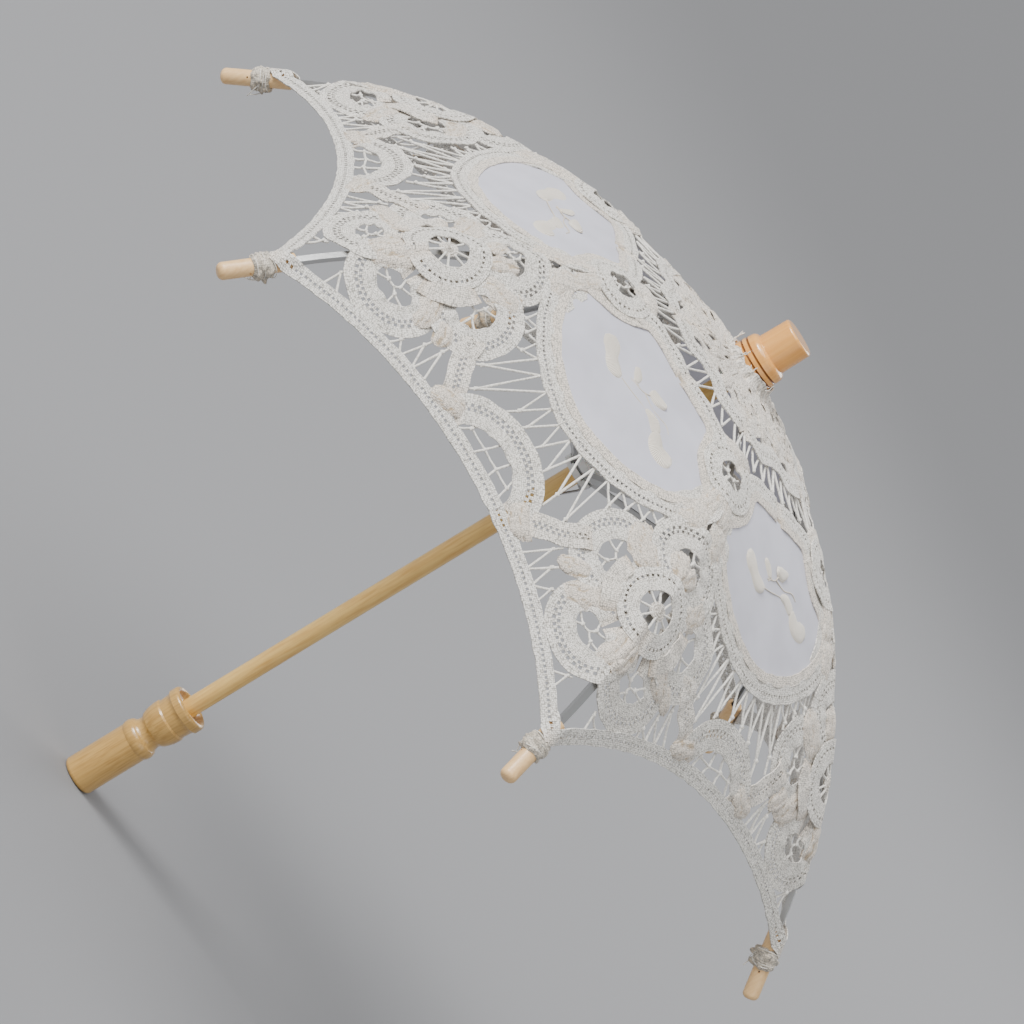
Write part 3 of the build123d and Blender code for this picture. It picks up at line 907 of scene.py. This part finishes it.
class Canopy:
    """Half-panels being filled: each part of the pattern is cut at the seams and shared out."""

    def __init__(self):
        self.shares = {}

    def pour(self, bm, turn):
        """Cuts a part laid round `turn` at the seams near it and adds it to the half-panels."""
        for off in (-HALF_STEP, 0, HALF_STEP):
            angle = math.radians(turn + off)
            bmesh.ops.bisect_plane(
                bm, geom=bm.verts[:] + bm.edges[:] + bm.faces[:], dist=1e-5, plane_co=(0, 0, 0),
                plane_no=(-math.sin(angle), math.cos(angle), 0),
            )
        bmesh.ops.dissolve_degenerate(bm, dist=0.02, edges=bm.edges[:])
        owner = []
        for face in bm.faces:
            middle = face.calc_center_median()
            owner.append(int(math.degrees(math.atan2(middle.y, middle.x)) % 360 // HALF_STEP))
        for slot in sorted(set(owner)):
            share = bm.copy()
            others = [face for face, whose in zip(share.faces, owner) if whose != slot]
            bmesh.ops.delete(share, geom=others, context="FACES")
            mesh = bpy.data.meshes.new("share")
            share.to_mesh(mesh)
            share.free()
            self.shares.setdefault(slot, bmesh.new()).from_mesh(mesh)
            bpy.data.meshes.remove(mesh)
        bm.free()

    def finish(self, prefix, material, thickness, slot_name, replaces=False):
        """Makes the half-panels' objects; gives {(rib number, hand): object}."""
        made = {}
        for number, hand, slot in half_panels():
            if slot not in self.shares:
                continue
            piece = finished_object(self.shares[slot], f"{prefix}_{hand}_{number}", material, thickness)
            fold_with(piece, number)
            if replaces:
                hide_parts(f"lace_{hand}_{number}")
            made[number, hand] = piece
        return made


def half_panels():
    """(rib number, hand, sector) of each half-panel; sectors count up from rib 1."""
    for number in range(1, RIBS + 1):
        yield number, "left", 2 * (number - 1)
        yield number, "right", (2 * number - 3) % (2 * RIBS)


def fold_with(made, number):
    """Lays a half-panel piece's vertices out by their turn from its rib, in half-steps (0 at the rib,
    1 at the seam), bakes the object's transform into them, and puts them back as they were.
    """
    rib_turn = math.radians((number - 1) * RIB_STEP)
    rest = [vert.co.copy() for vert in made.data.vertices]
    for vert in made.data.vertices:
        off = math.atan2(vert.co.y, vert.co.x) - rib_turn
        off = abs((off + math.pi) % (2 * math.pi) - math.pi)
        vert.co = (math.degrees(off) / HALF_STEP, 0, 0)
    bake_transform(made)
    for vert, place in zip(made.data.vertices, rest):
        vert.co = place


# --- crown and pegs -----------------------------------------------------------------------------
CROWN_Z = HINGE_Z + LACE_LIFT    # height of the lace at the shaft


def crown_gather():
    """The lace's gathered middle: pleated cloth drawn up round the ferrule's foot."""
    bm, uv, ecru_and_shade = cloth_mesh()
    rings = (                    # radius, height, pleat; the first two turn in under the lace
        (14.6, -1.5, 0.3), (16.4, -0.5, 0.3), (17.2, 0.1, 0.3), (16.4, 0.7, 0.7), (15.4, 1.2, 1.0),
        (14.4, 1.7, 1.1), (13.6, 2.2, 1.0), (13.0, 3.0, 0.8), (12.6, 4.0, 0.6), (12.2, 5.0, 0.4),
    )
    loop = bmesh.ops.create_circle(bm, segments=168, radius=rings[0][0])["verts"]
    edges = bm.edges[:]
    rows = [loop]
    for _ in rings[1:]:
        grown = bmesh.ops.extrude_edge_only(bm, edges=edges)["geom"]
        rows.append([item for item in grown if isinstance(item, bmesh.types.BMVert)])
        edges = [item for item in grown if isinstance(item, bmesh.types.BMEdge)]
        edges = [edge for edge in edges if all(vert in rows[-1] for vert in edge.verts)]
    for number, (row, (radius, height, deep)) in enumerate(zip(rows, rings)):
        for vert in row:
            turn = math.atan2(vert.co.y, vert.co.x)
            ragged = noise.noise(Vector((math.cos(turn), math.sin(turn), number * 0.04)) * 3.1)
            tall = 1 + 0.9 * noise.noise(Vector((math.cos(turn), math.sin(turn), 7)) * 1.6)
            pleats = abs(math.sin(9 * turn + 3.2 * ragged + 0.12 * number)) - 0.5
            up = height * (tall if height > 0 else 1) + 0.9 * deep * pleats
            if number == len(rings) - 1:
                up += 1.6 * ragged
            reach = radius + deep * pleats * 0.9 + 0.3 * ragged
            vert.co = (reach * math.cos(turn), reach * math.sin(turn), CROWN_Z + up)
            # painted shade: darker in the valleys between the pleats
            vert[ecru_and_shade] = 0.25 + 0.7 * max(0.2 - pleats, 0)
            set_uv(vert, uv, turn * 18, radius * 1.2 + height)
    bmesh.ops.recalc_face_normals(bm, faces=bm.faces)
    return bm


def loose_ends(draw):
    """Centre lines of the thread ends that stand out of the gathers at the ferrule's foot."""
    lines = []
    for _ in range(13):
        turn = draw.uniform(0, 2 * math.pi)
        low = draw.uniform(2.0, 5.0)
        line = []
        lean, spread = draw.uniform(-0.35, 0.35), draw.uniform(-0.1, 0.25)
        for part in range(6):
            t = part / 5
            reach = 13.4 - 0.9 * t + spread * 6 * t * t
            angle = turn + lean * t + 0.05 * math.sin(5 * t)
            up = CROWN_Z + low + draw.uniform(3.0, 4.6) * t
            line.append((Vector((reach * math.cos(angle), reach * math.sin(angle), up)), 0.26 - 0.08 * t))
        lines.append(line)
    return lines


def on_peg(turn, along, angle, reach):
    """A point round a peg: `along` from its inner end, at `reach` from its axis; 0 degrees is up."""
    start, way, up = peg_axis()
    spin = math.radians(angle)
    out = up * math.cos(spin) + Vector((0, 1, 0)) * math.sin(spin)
    return Matrix.Rotation(math.radians(turn), 3, "Z") @ (start + way * (PEG_GAP + along) + out * reach)


def peg_wad(turn, draw):
    """The lace's corner wrapped round a peg and tied: a crumpled sleeve of tape."""
    bm, uv, ecru_and_shade = cloth_mesh()
    seed = any_seed(draw, 60)
    sleeve = bmesh.ops.create_grid(bm, x_segments=44, y_segments=14, size=0.5)["verts"]
    for vert in sleeve:
        angle = (vert.co.x + 0.5) * 360
        part = vert.co.y + 0.5
        spin = math.radians(angle)
        ragged = noise.noise(Vector((math.cos(spin), math.sin(spin), part * 2.6)) * 1.7 + seed)
        body = math.sin(math.pi * min(max(part, 0.0), 1.0)) ** 0.5
        under = 0.5 - 0.5 * math.cos(spin)
        fine = noise.noise(Vector((2.5 * math.cos(spin), 2.5 * math.sin(spin), part * 5)) * 1.5 + seed)
        bulge = 1.1 + 2.2 * under * max(ragged + 0.4, 0) + 1.1 * max(ragged, -0.3) + 0.9 * fine
        reach = PEG_R + 0.15 + body * bulge
        along = 8.6 + 8.2 * part + 0.9 * ragged * (1 if part > 0.5 else -1)
        set_uv(vert, uv, spin * 4, along)
        vert.co = on_peg(turn, along, angle, reach)
        # painted shade: the wad is darker on its underside, with random patches
        vert[ecru_and_shade] = 0.45 + 0.5 * under * (0.5 + ragged)
    bmesh.ops.remove_doubles(bm, verts=sleeve, dist=0.01)
    bmesh.ops.recalc_face_normals(bm, faces=bm.faces)
    return bm


def peg_ties(turn, draw):
    """Centre lines of the thread turns that tie a wad to its peg, and their loose ends."""
    lines = []
    for number in range(3):
        along = 10.2 + 2.4 * number + draw.uniform(-0.9, 0.9)
        slope = draw.uniform(-2.6, 2.6)
        line = []
        for angle in between(0, 360, 28):
            spin = math.radians(angle)
            reach = PEG_R + 1.05 + 0.5 * (0.5 - 0.5 * math.cos(spin)) + draw.uniform(-0.05, 0.15)
            line.append((on_peg(turn, along + slope * math.sin(spin), angle, reach), 0.2))
        lines.append(line)
    for side in (-1, 1):
        start = draw.uniform(100, 150) * side
        line = []
        for step in range(7):
            along = 12 + side + 0.9 * step
            line.append((on_peg(turn, along, start + 9 * step * side, PEG_R + 1.4 + 0.4 * step), 0.22))
        lines.append(line)
    return lines


# --- medallions ---------------------------------------------------------------------------------
HEM = 0.6                        # what the lawn's hem takes up beyond its outline
STEM_R = 0.24                    # radius of a sprig's stem


def radius_by_turn():
    """The medallion's edge seen from its middle: sorted (turn, radius) pairs."""
    middle = Vector((cloth_top_run() + CLOTH_MIDDLE, 0))
    offs = [point - middle for point in cloth_edge(HEM)[:-1]]
    spots = sorted((math.atan2(off.y, off.x), off.length) for off in offs)
    before = (spots[-1][0] - 2 * math.pi, spots[-1][1])
    after = (spots[0][0] + 2 * math.pi, spots[0][1])
    return [before, *spots, after]


def medallion_cloth(turn, draw):
    """One fan-shaped piece of lawn: a disc of rings, stretched to the medallion's edge and laid."""
    bm = bmesh.new()
    uv = bm.loops.layers.uv.new("weave")
    bmesh.ops.create_circle(bm, cap_ends=True, radius=1, segments=96)
    core = list(bm.faces)
    for _ in range(9):
        bmesh.ops.inset_region(bm, faces=core, thickness=0.1, use_even_offset=True)
    bmesh.ops.poke(bm, faces=core)
    edge = radius_by_turn()
    angles = [angle for angle, _ in edge]
    top = cloth_top_run()
    seed = any_seed(draw, 50)
    amount = draw.uniform(0.7, 1.4)
    for vert in bm.verts:
        angle = math.atan2(vert.co.y, vert.co.x)
        at = min(max(bisect.bisect_left(angles, angle), 1), len(edge) - 1)
        (low, near), (high, far) = edge[at - 1], edge[at]
        reach = near + (far - near) * (angle - low) / max(high - low, 1e-9)
        run = top + CLOTH_MIDDLE + vert.co.length * reach * math.cos(angle)
        side = vert.co.length * reach * math.sin(angle)
        set_uv(vert, uv, run, side)
        slack = 1 - vert.co.length**2
        crease = noise.noise(Vector((run * 0.03, side * 0.11, 0)) + seed)
        vert.co = on_panel(turn, run, side, 0.4 + amount * slack * crease - 0.3 * slack)
    return bm


def cloth_area():
    """Flat area of half a medallion, in square metres, by the shoelace rule."""
    edge = cloth_edge(HEM)
    total = sum(a.x * b.y - b.x * a.y for a, b in zip(edge, edge[1:]))
    return abs(total) / 2 / 2 * 1e-6


def satin(bm, uv, turn, points, widths, height):
    """Padded satin stitch along a flat line: a low dome whose width changes along it."""
    line = Track(smooth_line(points, 8))
    patch = bmesh.ops.create_grid(bm, x_segments=18, y_segments=8, size=0.5)["verts"]
    for vert in patch:
        part = vert.co.x + 0.5
        across = vert.co.y * 2
        here, left = line.at(line.length * part)
        spot = part * (len(widths) - 1)
        at = min(int(spot), len(widths) - 2)
        wide = widths[at] + (widths[at + 1] - widths[at]) * (spot - at)
        wide *= math.sqrt(max(1 - (2 * part - 1) ** 8, 0.0))
        flat = here + left * across * wide
        rise = height * math.sqrt(max(1 - across**2, 0)) * min(wide / 1.5, 1)
        set_uv(vert, uv, line.length * part + 0.6 * across, across * wide)
        vert.co = on_panel(turn, flat.x, flat.y, 0.3 + rise)


def sprig(turn, draw):
    """The embroidered sprig on a medallion; gives its satin shapes and its stems' centre lines."""
    bm = bmesh.new()
    uv = bm.loops.layers.uv.new("weave")
    top = cloth_top_run()

    def spots(*points):
        return [(top + run, side) for run, side in points]

    pods = (
        (spots((24.0, -26.0), (27.0, -21.0), (31.5, -15.0), (32.5, -8.0)), (3.8, 4.8, 3.4, 3.8, 2.2), 0.9),
        (spots((29.5, 16.0), (34.0, 21.0), (34.5, 25.5), (32.0, 30.5)), (2.2, 3.6, 4.0, 4.6, 3.4), 0.9),
        (spots((28.5, 6.0), (28.0, 11.5), (30.5, 17.0)), (1.2, 3.2, 3.0), 0.7),
        (spots((19.5, -10.0), (22.5, -6.5), (26.0, -4.5)), (1.4, 2.4, 1.5), 0.7),
        (spots((19.5, 0.5), (19.5, 5.0), (17.5, 9.5)), (2.0, 3.2, 1.6), 1.2),
    )
    for line, widths, height in pods:
        satin(bm, uv, turn, line, widths, height)
    stems = []
    for line in (
        spots((31.5, -8.0), (30.5, -2.0), (29.0, 5.0), (28.5, 11.0)),
        spots((27.0, -7.0), (24.5, 0.0), (20.0, 3.5)),
        spots((24.0, 0.5), (25.0, 8.0), (23.0, 15.0), (24.5, 19.0)),
        spots((27.5, -6.0), (25.0, -3.0)),
    ):
        points = smooth_line(line, 5)
        stems.append([(on_panel(turn, p.x, p.y, 0.5), STEM_R * draw.uniform(0.8, 1.2)) for p in points])
    return bm, stems


# --- settings -----------------------------------------------------------------------------------
class ParasolFinishes(bpy.types.PropertyGroup):
    """Colours that a user would change."""

    tape_colour: bpy.props.StringProperty(name="Tape", description="Lace tape, sRGB hex", default="#FCFAF5")
    fold_colour: bpy.props.StringProperty(name="Folds", description="Folds, sRGB hex", default="#F5E9DA")
    cloth_colour: bpy.props.StringProperty(name="Lawn", description="Lawn, sRGB hex", default="#D3D2DD")
    stick_colour: bpy.props.StringProperty(name="Stick", description="Shaft, sRGB hex", default="#F4C973")
    floor_colour: bpy.props.StringProperty(name="Floor", description="Floor, sRGB hex", default="#8C8C8E")


class ParasolSizes(bpy.types.PropertyGroup):
    """Widths and thicknesses of the lace."""

    ring_tape: bpy.props.FloatProperty(
        name="Ring tape", description="Width of a flower's ring", default=0.0095,
        subtype="DISTANCE", unit="LENGTH",
    )
    petal_tape: bpy.props.FloatProperty(
        name="Petal tape", description="Width of petals and scallops", default=0.0124,
        subtype="DISTANCE", unit="LENGTH",
    )
    rim_tape: bpy.props.FloatProperty(
        name="Rim tape", description="Width of the rim", default=0.0065,
        subtype="DISTANCE", unit="LENGTH",
    )
    frame_tape: bpy.props.FloatProperty(
        name="Frame tape", description="Width round a medallion", default=0.0076,
        subtype="DISTANCE", unit="LENGTH",
    )
    bar_radius: bpy.props.FloatProperty(
        name="Bar radius", description="Radius of a thread bar", default=0.0005,
        subtype="DISTANCE", unit="LENGTH",
    )
    tape_wall: bpy.props.FloatProperty(
        name="Tape wall", description="Thickness of the tape", default=0.0005,
        subtype="DISTANCE", unit="LENGTH",
    )
    cloth_wall: bpy.props.FloatProperty(
        name="Lawn wall", description="Thickness of the lawn", default=0.00025,
        subtype="DISTANCE", unit="LENGTH",
    )


class ParasolView(bpy.types.PropertyGroup):
    """The camera's place."""

    distance: bpy.props.FloatProperty(
        name="Distance", description="Camera to shaft", default=2.0,
        subtype="DISTANCE", unit="LENGTH",
    )
    azimuth: bpy.props.FloatProperty(
        name="Azimuth", description="Turn about the shaft", default=math.radians(7.8), subtype="ANGLE"
    )
    elevation: bpy.props.FloatProperty(
        name="Elevation", description="Height over the shaft", default=math.radians(11), subtype="ANGLE"
    )
    roll: bpy.props.FloatProperty(
        name="Roll", description="Lean of the shaft", default=math.radians(58.7), subtype="ANGLE"
    )
    field: bpy.props.FloatProperty(
        name="Field", description="Width seen at the shaft", default=0.4096,
        subtype="DISTANCE", unit="LENGTH",
    )


# --- operators ----------------------------------------------------------------------------------
class PARASOL_OT_stage(bpy.types.Operator):
    """Make the floor, the soft lights and the camera"""

    bl_idname = "parasol.stage"
    bl_label = "Stage"

    def execute(self, context):
        bm = bmesh.new()
        bmesh.ops.create_grid(bm, x_segments=2, y_segments=2, size=30)
        mesh = bpy.data.meshes.new("studio_floor")
        bm.to_mesh(mesh)
        bm.free()
        floor = put("studio_floor", mesh)
        colour = context.scene.parasol_finishes.floor_colour
        mesh.materials.append(painted_floor("Studio paper, matt", colour))
        lights = (
            ("key_light", (-1.9, -1.4, 1.9), 1.0, 70),
            ("fill_light", (1.9, -1.6, 0.9), 1.6, 7),
            ("back_light", (0.6, 2.0, 1.6), 1.4, 26),
        )
        for name, place, size, power in lights:
            lamp = bpy.data.lights.new(name, "AREA")
            lamp.size = size
            lamp.energy = power
            made = put(name, lamp)
            made.location = place
            made.rotation_euler = (HEART - Vector(place)).to_track_quat("-Z", "Y").to_euler()
        sky = bpy.data.lights.new("soft_overhead", "SUN")
        sky.energy = 2.8
        sky.angle = math.radians(60)
        overhead = put("soft_overhead", sky)
        overhead.rotation_euler = (math.radians(28), math.radians(-32), 0)
        world = bpy.data.worlds.new("studio")
        world.use_nodes = True
        background = world.node_tree.nodes["Background"]
        feed(world.node_tree, background, {"Color": "#EEF0F2", "Strength": 0.5})
        context.scene.world = world
        self.camera(context)
        return {"FINISHED"}

    def camera(self, context):
        view = context.scene.parasol_view
        target = Vector((0, 0, 0.212))
        flat = math.cos(view.elevation)
        east, south = math.sin(view.azimuth) * flat, math.cos(view.azimuth) * flat
        back = Vector((east, -south, math.sin(view.elevation)))
        lens = bpy.data.cameras.new("camera")
        lens.sensor_width = 36
        lens.lens = 36 * view.distance / view.field
        lens.clip_end = 100
        made = put("camera", lens)
        turn = (-back).to_track_quat("-Z", "Y").to_matrix().to_4x4()
        roll = Matrix.Rotation(view.roll, 4, "Z")
        made.matrix_world = Matrix.Translation(target + back * view.distance) @ turn @ roll
        context.scene.camera = made


class PARASOL_OT_hard_parts(bpy.types.Operator):
    """Give the wood, steel and plastic parts their materials"""

    bl_idname = "parasol.hard_parts"
    bl_label = "Wood, steel and plastic"

    def execute(self, context):
        stick = context.scene.parasol_finishes.stick_colour
        finishes = {
            "shaft": turned_wood("Birch dowel, sanded and varnished", stick, "#D0953F", 1.1, 0.3, 0.8),
            "handle": turned_wood("Birch, turned and varnished", "#D2A65A", "#A97B36", 0.9, 0.3, 0.8),
            "ferrule": turned_wood(
                "Pine, turned and gloss lacquered", "#F2B05C", "#E0953F", 1.6, 0.24, 1.0,
                grooves=[FERRULE_FOOT + up for up in FERRULE_GROOVES],
            ),
            "rib_tip": turned_wood("Beech peg, turned and waxed", "#F4CB92", "#DEAC70", 1.0, 0.4, 0.3),
            "rib": drawn_steel("Steel strip, rolled bright", "#C9C9C8", 0.3),
            "stretcher": drawn_steel("Steel strip, folded", "#BFBFBE", 0.34),
            "joint_rivet": drawn_steel("Steel rivet, set cold", "#B5B5B4", 0.38),
            "wire": drawn_steel("Spring wire, drawn", "#A9A9AA", 0.3),
            "plastic": moulded_plastic("Polyethylene, moulded", "#F2F1EC"),
        }
        kinds = {
            "notch_wire": "wire", "runner_wire": "wire", "spring_catch": "wire",
            "top_notch": "plastic", "runner": "plastic",
        }
        for node, made in frame["nodes"].items():
            base = node.rstrip("0123456789").rstrip("_")
            kind = kinds.get(node, base)
            if kind in finishes:
                made.data.materials.clear()
                made.data.materials.append(finishes[kind])
        return {"FINISHED"}


class PARASOL_OT_lace(bpy.types.Operator):
    """Lay the lace tapes and their thread bars"""

    bl_idname = "parasol.lace"
    bl_label = "Tapes and thread bars"

    def execute(self, context):
        finishes = context.scene.parasol_finishes
        sizes = context.scene.parasol_sizes
        draw = random.Random(7)
        tapes, bars = Canopy(), Canopy()
        parts = {}
        for _, turn in turns():
            for middle, steps in (
                (turn + HALF_STEP, (crown_rings, medallion_frame, rim)),
                (turn, (small_ring, flower)),
            ):
                parts[middle] = Lace(draw, sizes)
                for step in steps:
                    step(parts[middle], middle)
        trees = {middle: BVHTree.FromBMesh(part.tapes) for middle, part in parts.items()}
        for _, turn in turns():
            middle = turn + HALF_STEP
            near = [trees[middle], trees[turn], trees[(turn + RIB_STEP) % 360]]
            fill_gaps(parts[middle], middle, near)
        for middle, part in parts.items():
            tapes.pour(part.tapes, middle)
            bars.pour(mesh_of_bars(part.bars), middle)
        cotton = woven_tape("Cotton tape, machine woven", finishes.tape_colour, finishes.fold_colour)
        tapes.finish("lace_tape", cotton, sizes.tape_wall, "cotton_lace", replaces=True)
        thread = twisted_thread("Cotton thread, twisted", "#F7F3EB")
        bars.finish("thread_bars", thread, 0, "sewing_thread")
        return {"FINISHED"}


class PARASOL_OT_crown(bpy.types.Operator):
    """Gather the lace round the ferrule's foot, with its loose thread ends"""

    bl_idname = "parasol.crown"
    bl_label = "Crown gather"

    def execute(self, context):
        draw = random.Random(23)
        finishes = context.scene.parasol_finishes
        cotton = woven_tape("Cotton tape, gathered", finishes.tape_colour, finishes.fold_colour)
        wall = context.scene.parasol_sizes.tape_wall
        gather = finished_object(crown_gather(), "crown_gather", cotton, wall)
        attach(gather, "root")
        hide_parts("crown_lace")
        thread = twisted_thread("Cotton thread ends, frayed", "#F4EFE4")
        ends = finished_object(mesh_of_bars(loose_ends(draw)), "crown_thread_ends", thread)
        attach(ends, "root")
        return {"FINISHED"}


class PARASOL_OT_peg_ties(bpy.types.Operator):
    """Wrap the lace's corners round the pegs and tie them"""

    bl_idname = "parasol.peg_ties"
    bl_label = "Peg ties"

    def execute(self, context):
        draw = random.Random(31)
        # tape duller than the canopy's; the wad's underside takes painted shade
        cotton = woven_tape("Cotton tape, wrapped, with painted shade beneath", "#EFEAE0", "#D9CDBA")
        thread = twisted_thread("Sewing cotton, tied", "#EFEAE0")
        for number, turn in turns():
            wad = finished_object(peg_wad(turn, draw), f"peg_wad_{number}", cotton)
            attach(wad, f"rib_{number}")
            ties = finished_object(mesh_of_bars(peg_ties(turn, draw)), f"peg_ties_{number}", thread)
            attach(ties, f"rib_{number}")
            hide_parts(f"tip_thread_{number}")
        return {"FINISHED"}


class PARASOL_OT_medallions(bpy.types.Operator):
    """Lay the fan-shaped medallions of lawn and their embroidered sprigs"""

    bl_idname = "parasol.medallions"
    bl_label = "Medallions"

    def execute(self, context):
        finishes = context.scene.parasol_finishes
        draw = random.Random(11)
        cloths, sprigs = Canopy(), Canopy()
        for _, turn in turns():
            middle = turn + HALF_STEP
            cloths.pour(medallion_cloth(middle, draw), middle)
            shapes, stems = sprig(middle, draw)
            lines = bpy.data.meshes.new("stems")
            made = mesh_of_bars(stems)
            made.to_mesh(lines)
            made.free()
            shapes.from_mesh(lines)
            bpy.data.meshes.remove(lines)
            sprigs.pour(shapes, middle)
        lawn = cotton_lawn("Cotton lawn, bleached", finishes.cloth_colour)
        floss = satin_stitch("Cotton floss, satin stitch", "#FBF3E6")
        cloths = cloths.finish("medallion", lawn, context.scene.parasol_sizes.cloth_wall, "cotton_lace")
        sprigs = sprigs.finish("sprig", floss, 0, "sewing_thread")
        for (number, hand), piece in cloths.items():
            cloth_area()
        return {"FINISHED"}


class PARASOL_PT_pieces(bpy.types.Panel):
    """The parasol's settings and the operators that make it"""

    bl_idname = "PARASOL_PT_pieces"
    bl_label = "Lace parasol"
    bl_space_type = "VIEW_3D"
    bl_region_type = "UI"
    bl_category = "Parasol"

    def draw(self, context):
        scene = context.scene
        for group in (scene.parasol_finishes, scene.parasol_sizes, scene.parasol_view):
            for name in group.__annotations__:
                self.layout.prop(group, name)
        for kind in OPERATORS:
            self.layout.operator(kind.bl_idname)


OPERATORS = (
    PARASOL_OT_stage, PARASOL_OT_hard_parts, PARASOL_OT_lace, PARASOL_OT_medallions, PARASOL_OT_crown,
    PARASOL_OT_peg_ties,
)
CLASSES = (ParasolFinishes, ParasolSizes, ParasolView, *OPERATORS, PARASOL_PT_pieces)


def register():
    for kind in CLASSES:
        bpy.utils.register_class(kind)
    bpy.types.Scene.parasol_finishes = bpy.props.PointerProperty(type=ParasolFinishes)
    bpy.types.Scene.parasol_sizes = bpy.props.PointerProperty(type=ParasolSizes)
    bpy.types.Scene.parasol_view = bpy.props.PointerProperty(type=ParasolView)


def unregister():
    del bpy.types.Scene.parasol_view
    del bpy.types.Scene.parasol_sizes
    del bpy.types.Scene.parasol_finishes
    for kind in reversed(CLASSES):
        bpy.utils.unregister_class(kind)


def main():
    register()
    bpy.ops.parasol.stage()
    bpy.ops.parasol.hard_parts()
    bpy.ops.parasol.lace()
    bpy.ops.parasol.medallions()
    bpy.ops.parasol.crown()
    bpy.ops.parasol.peg_ties()


if __name__ == "__main__":
    main()
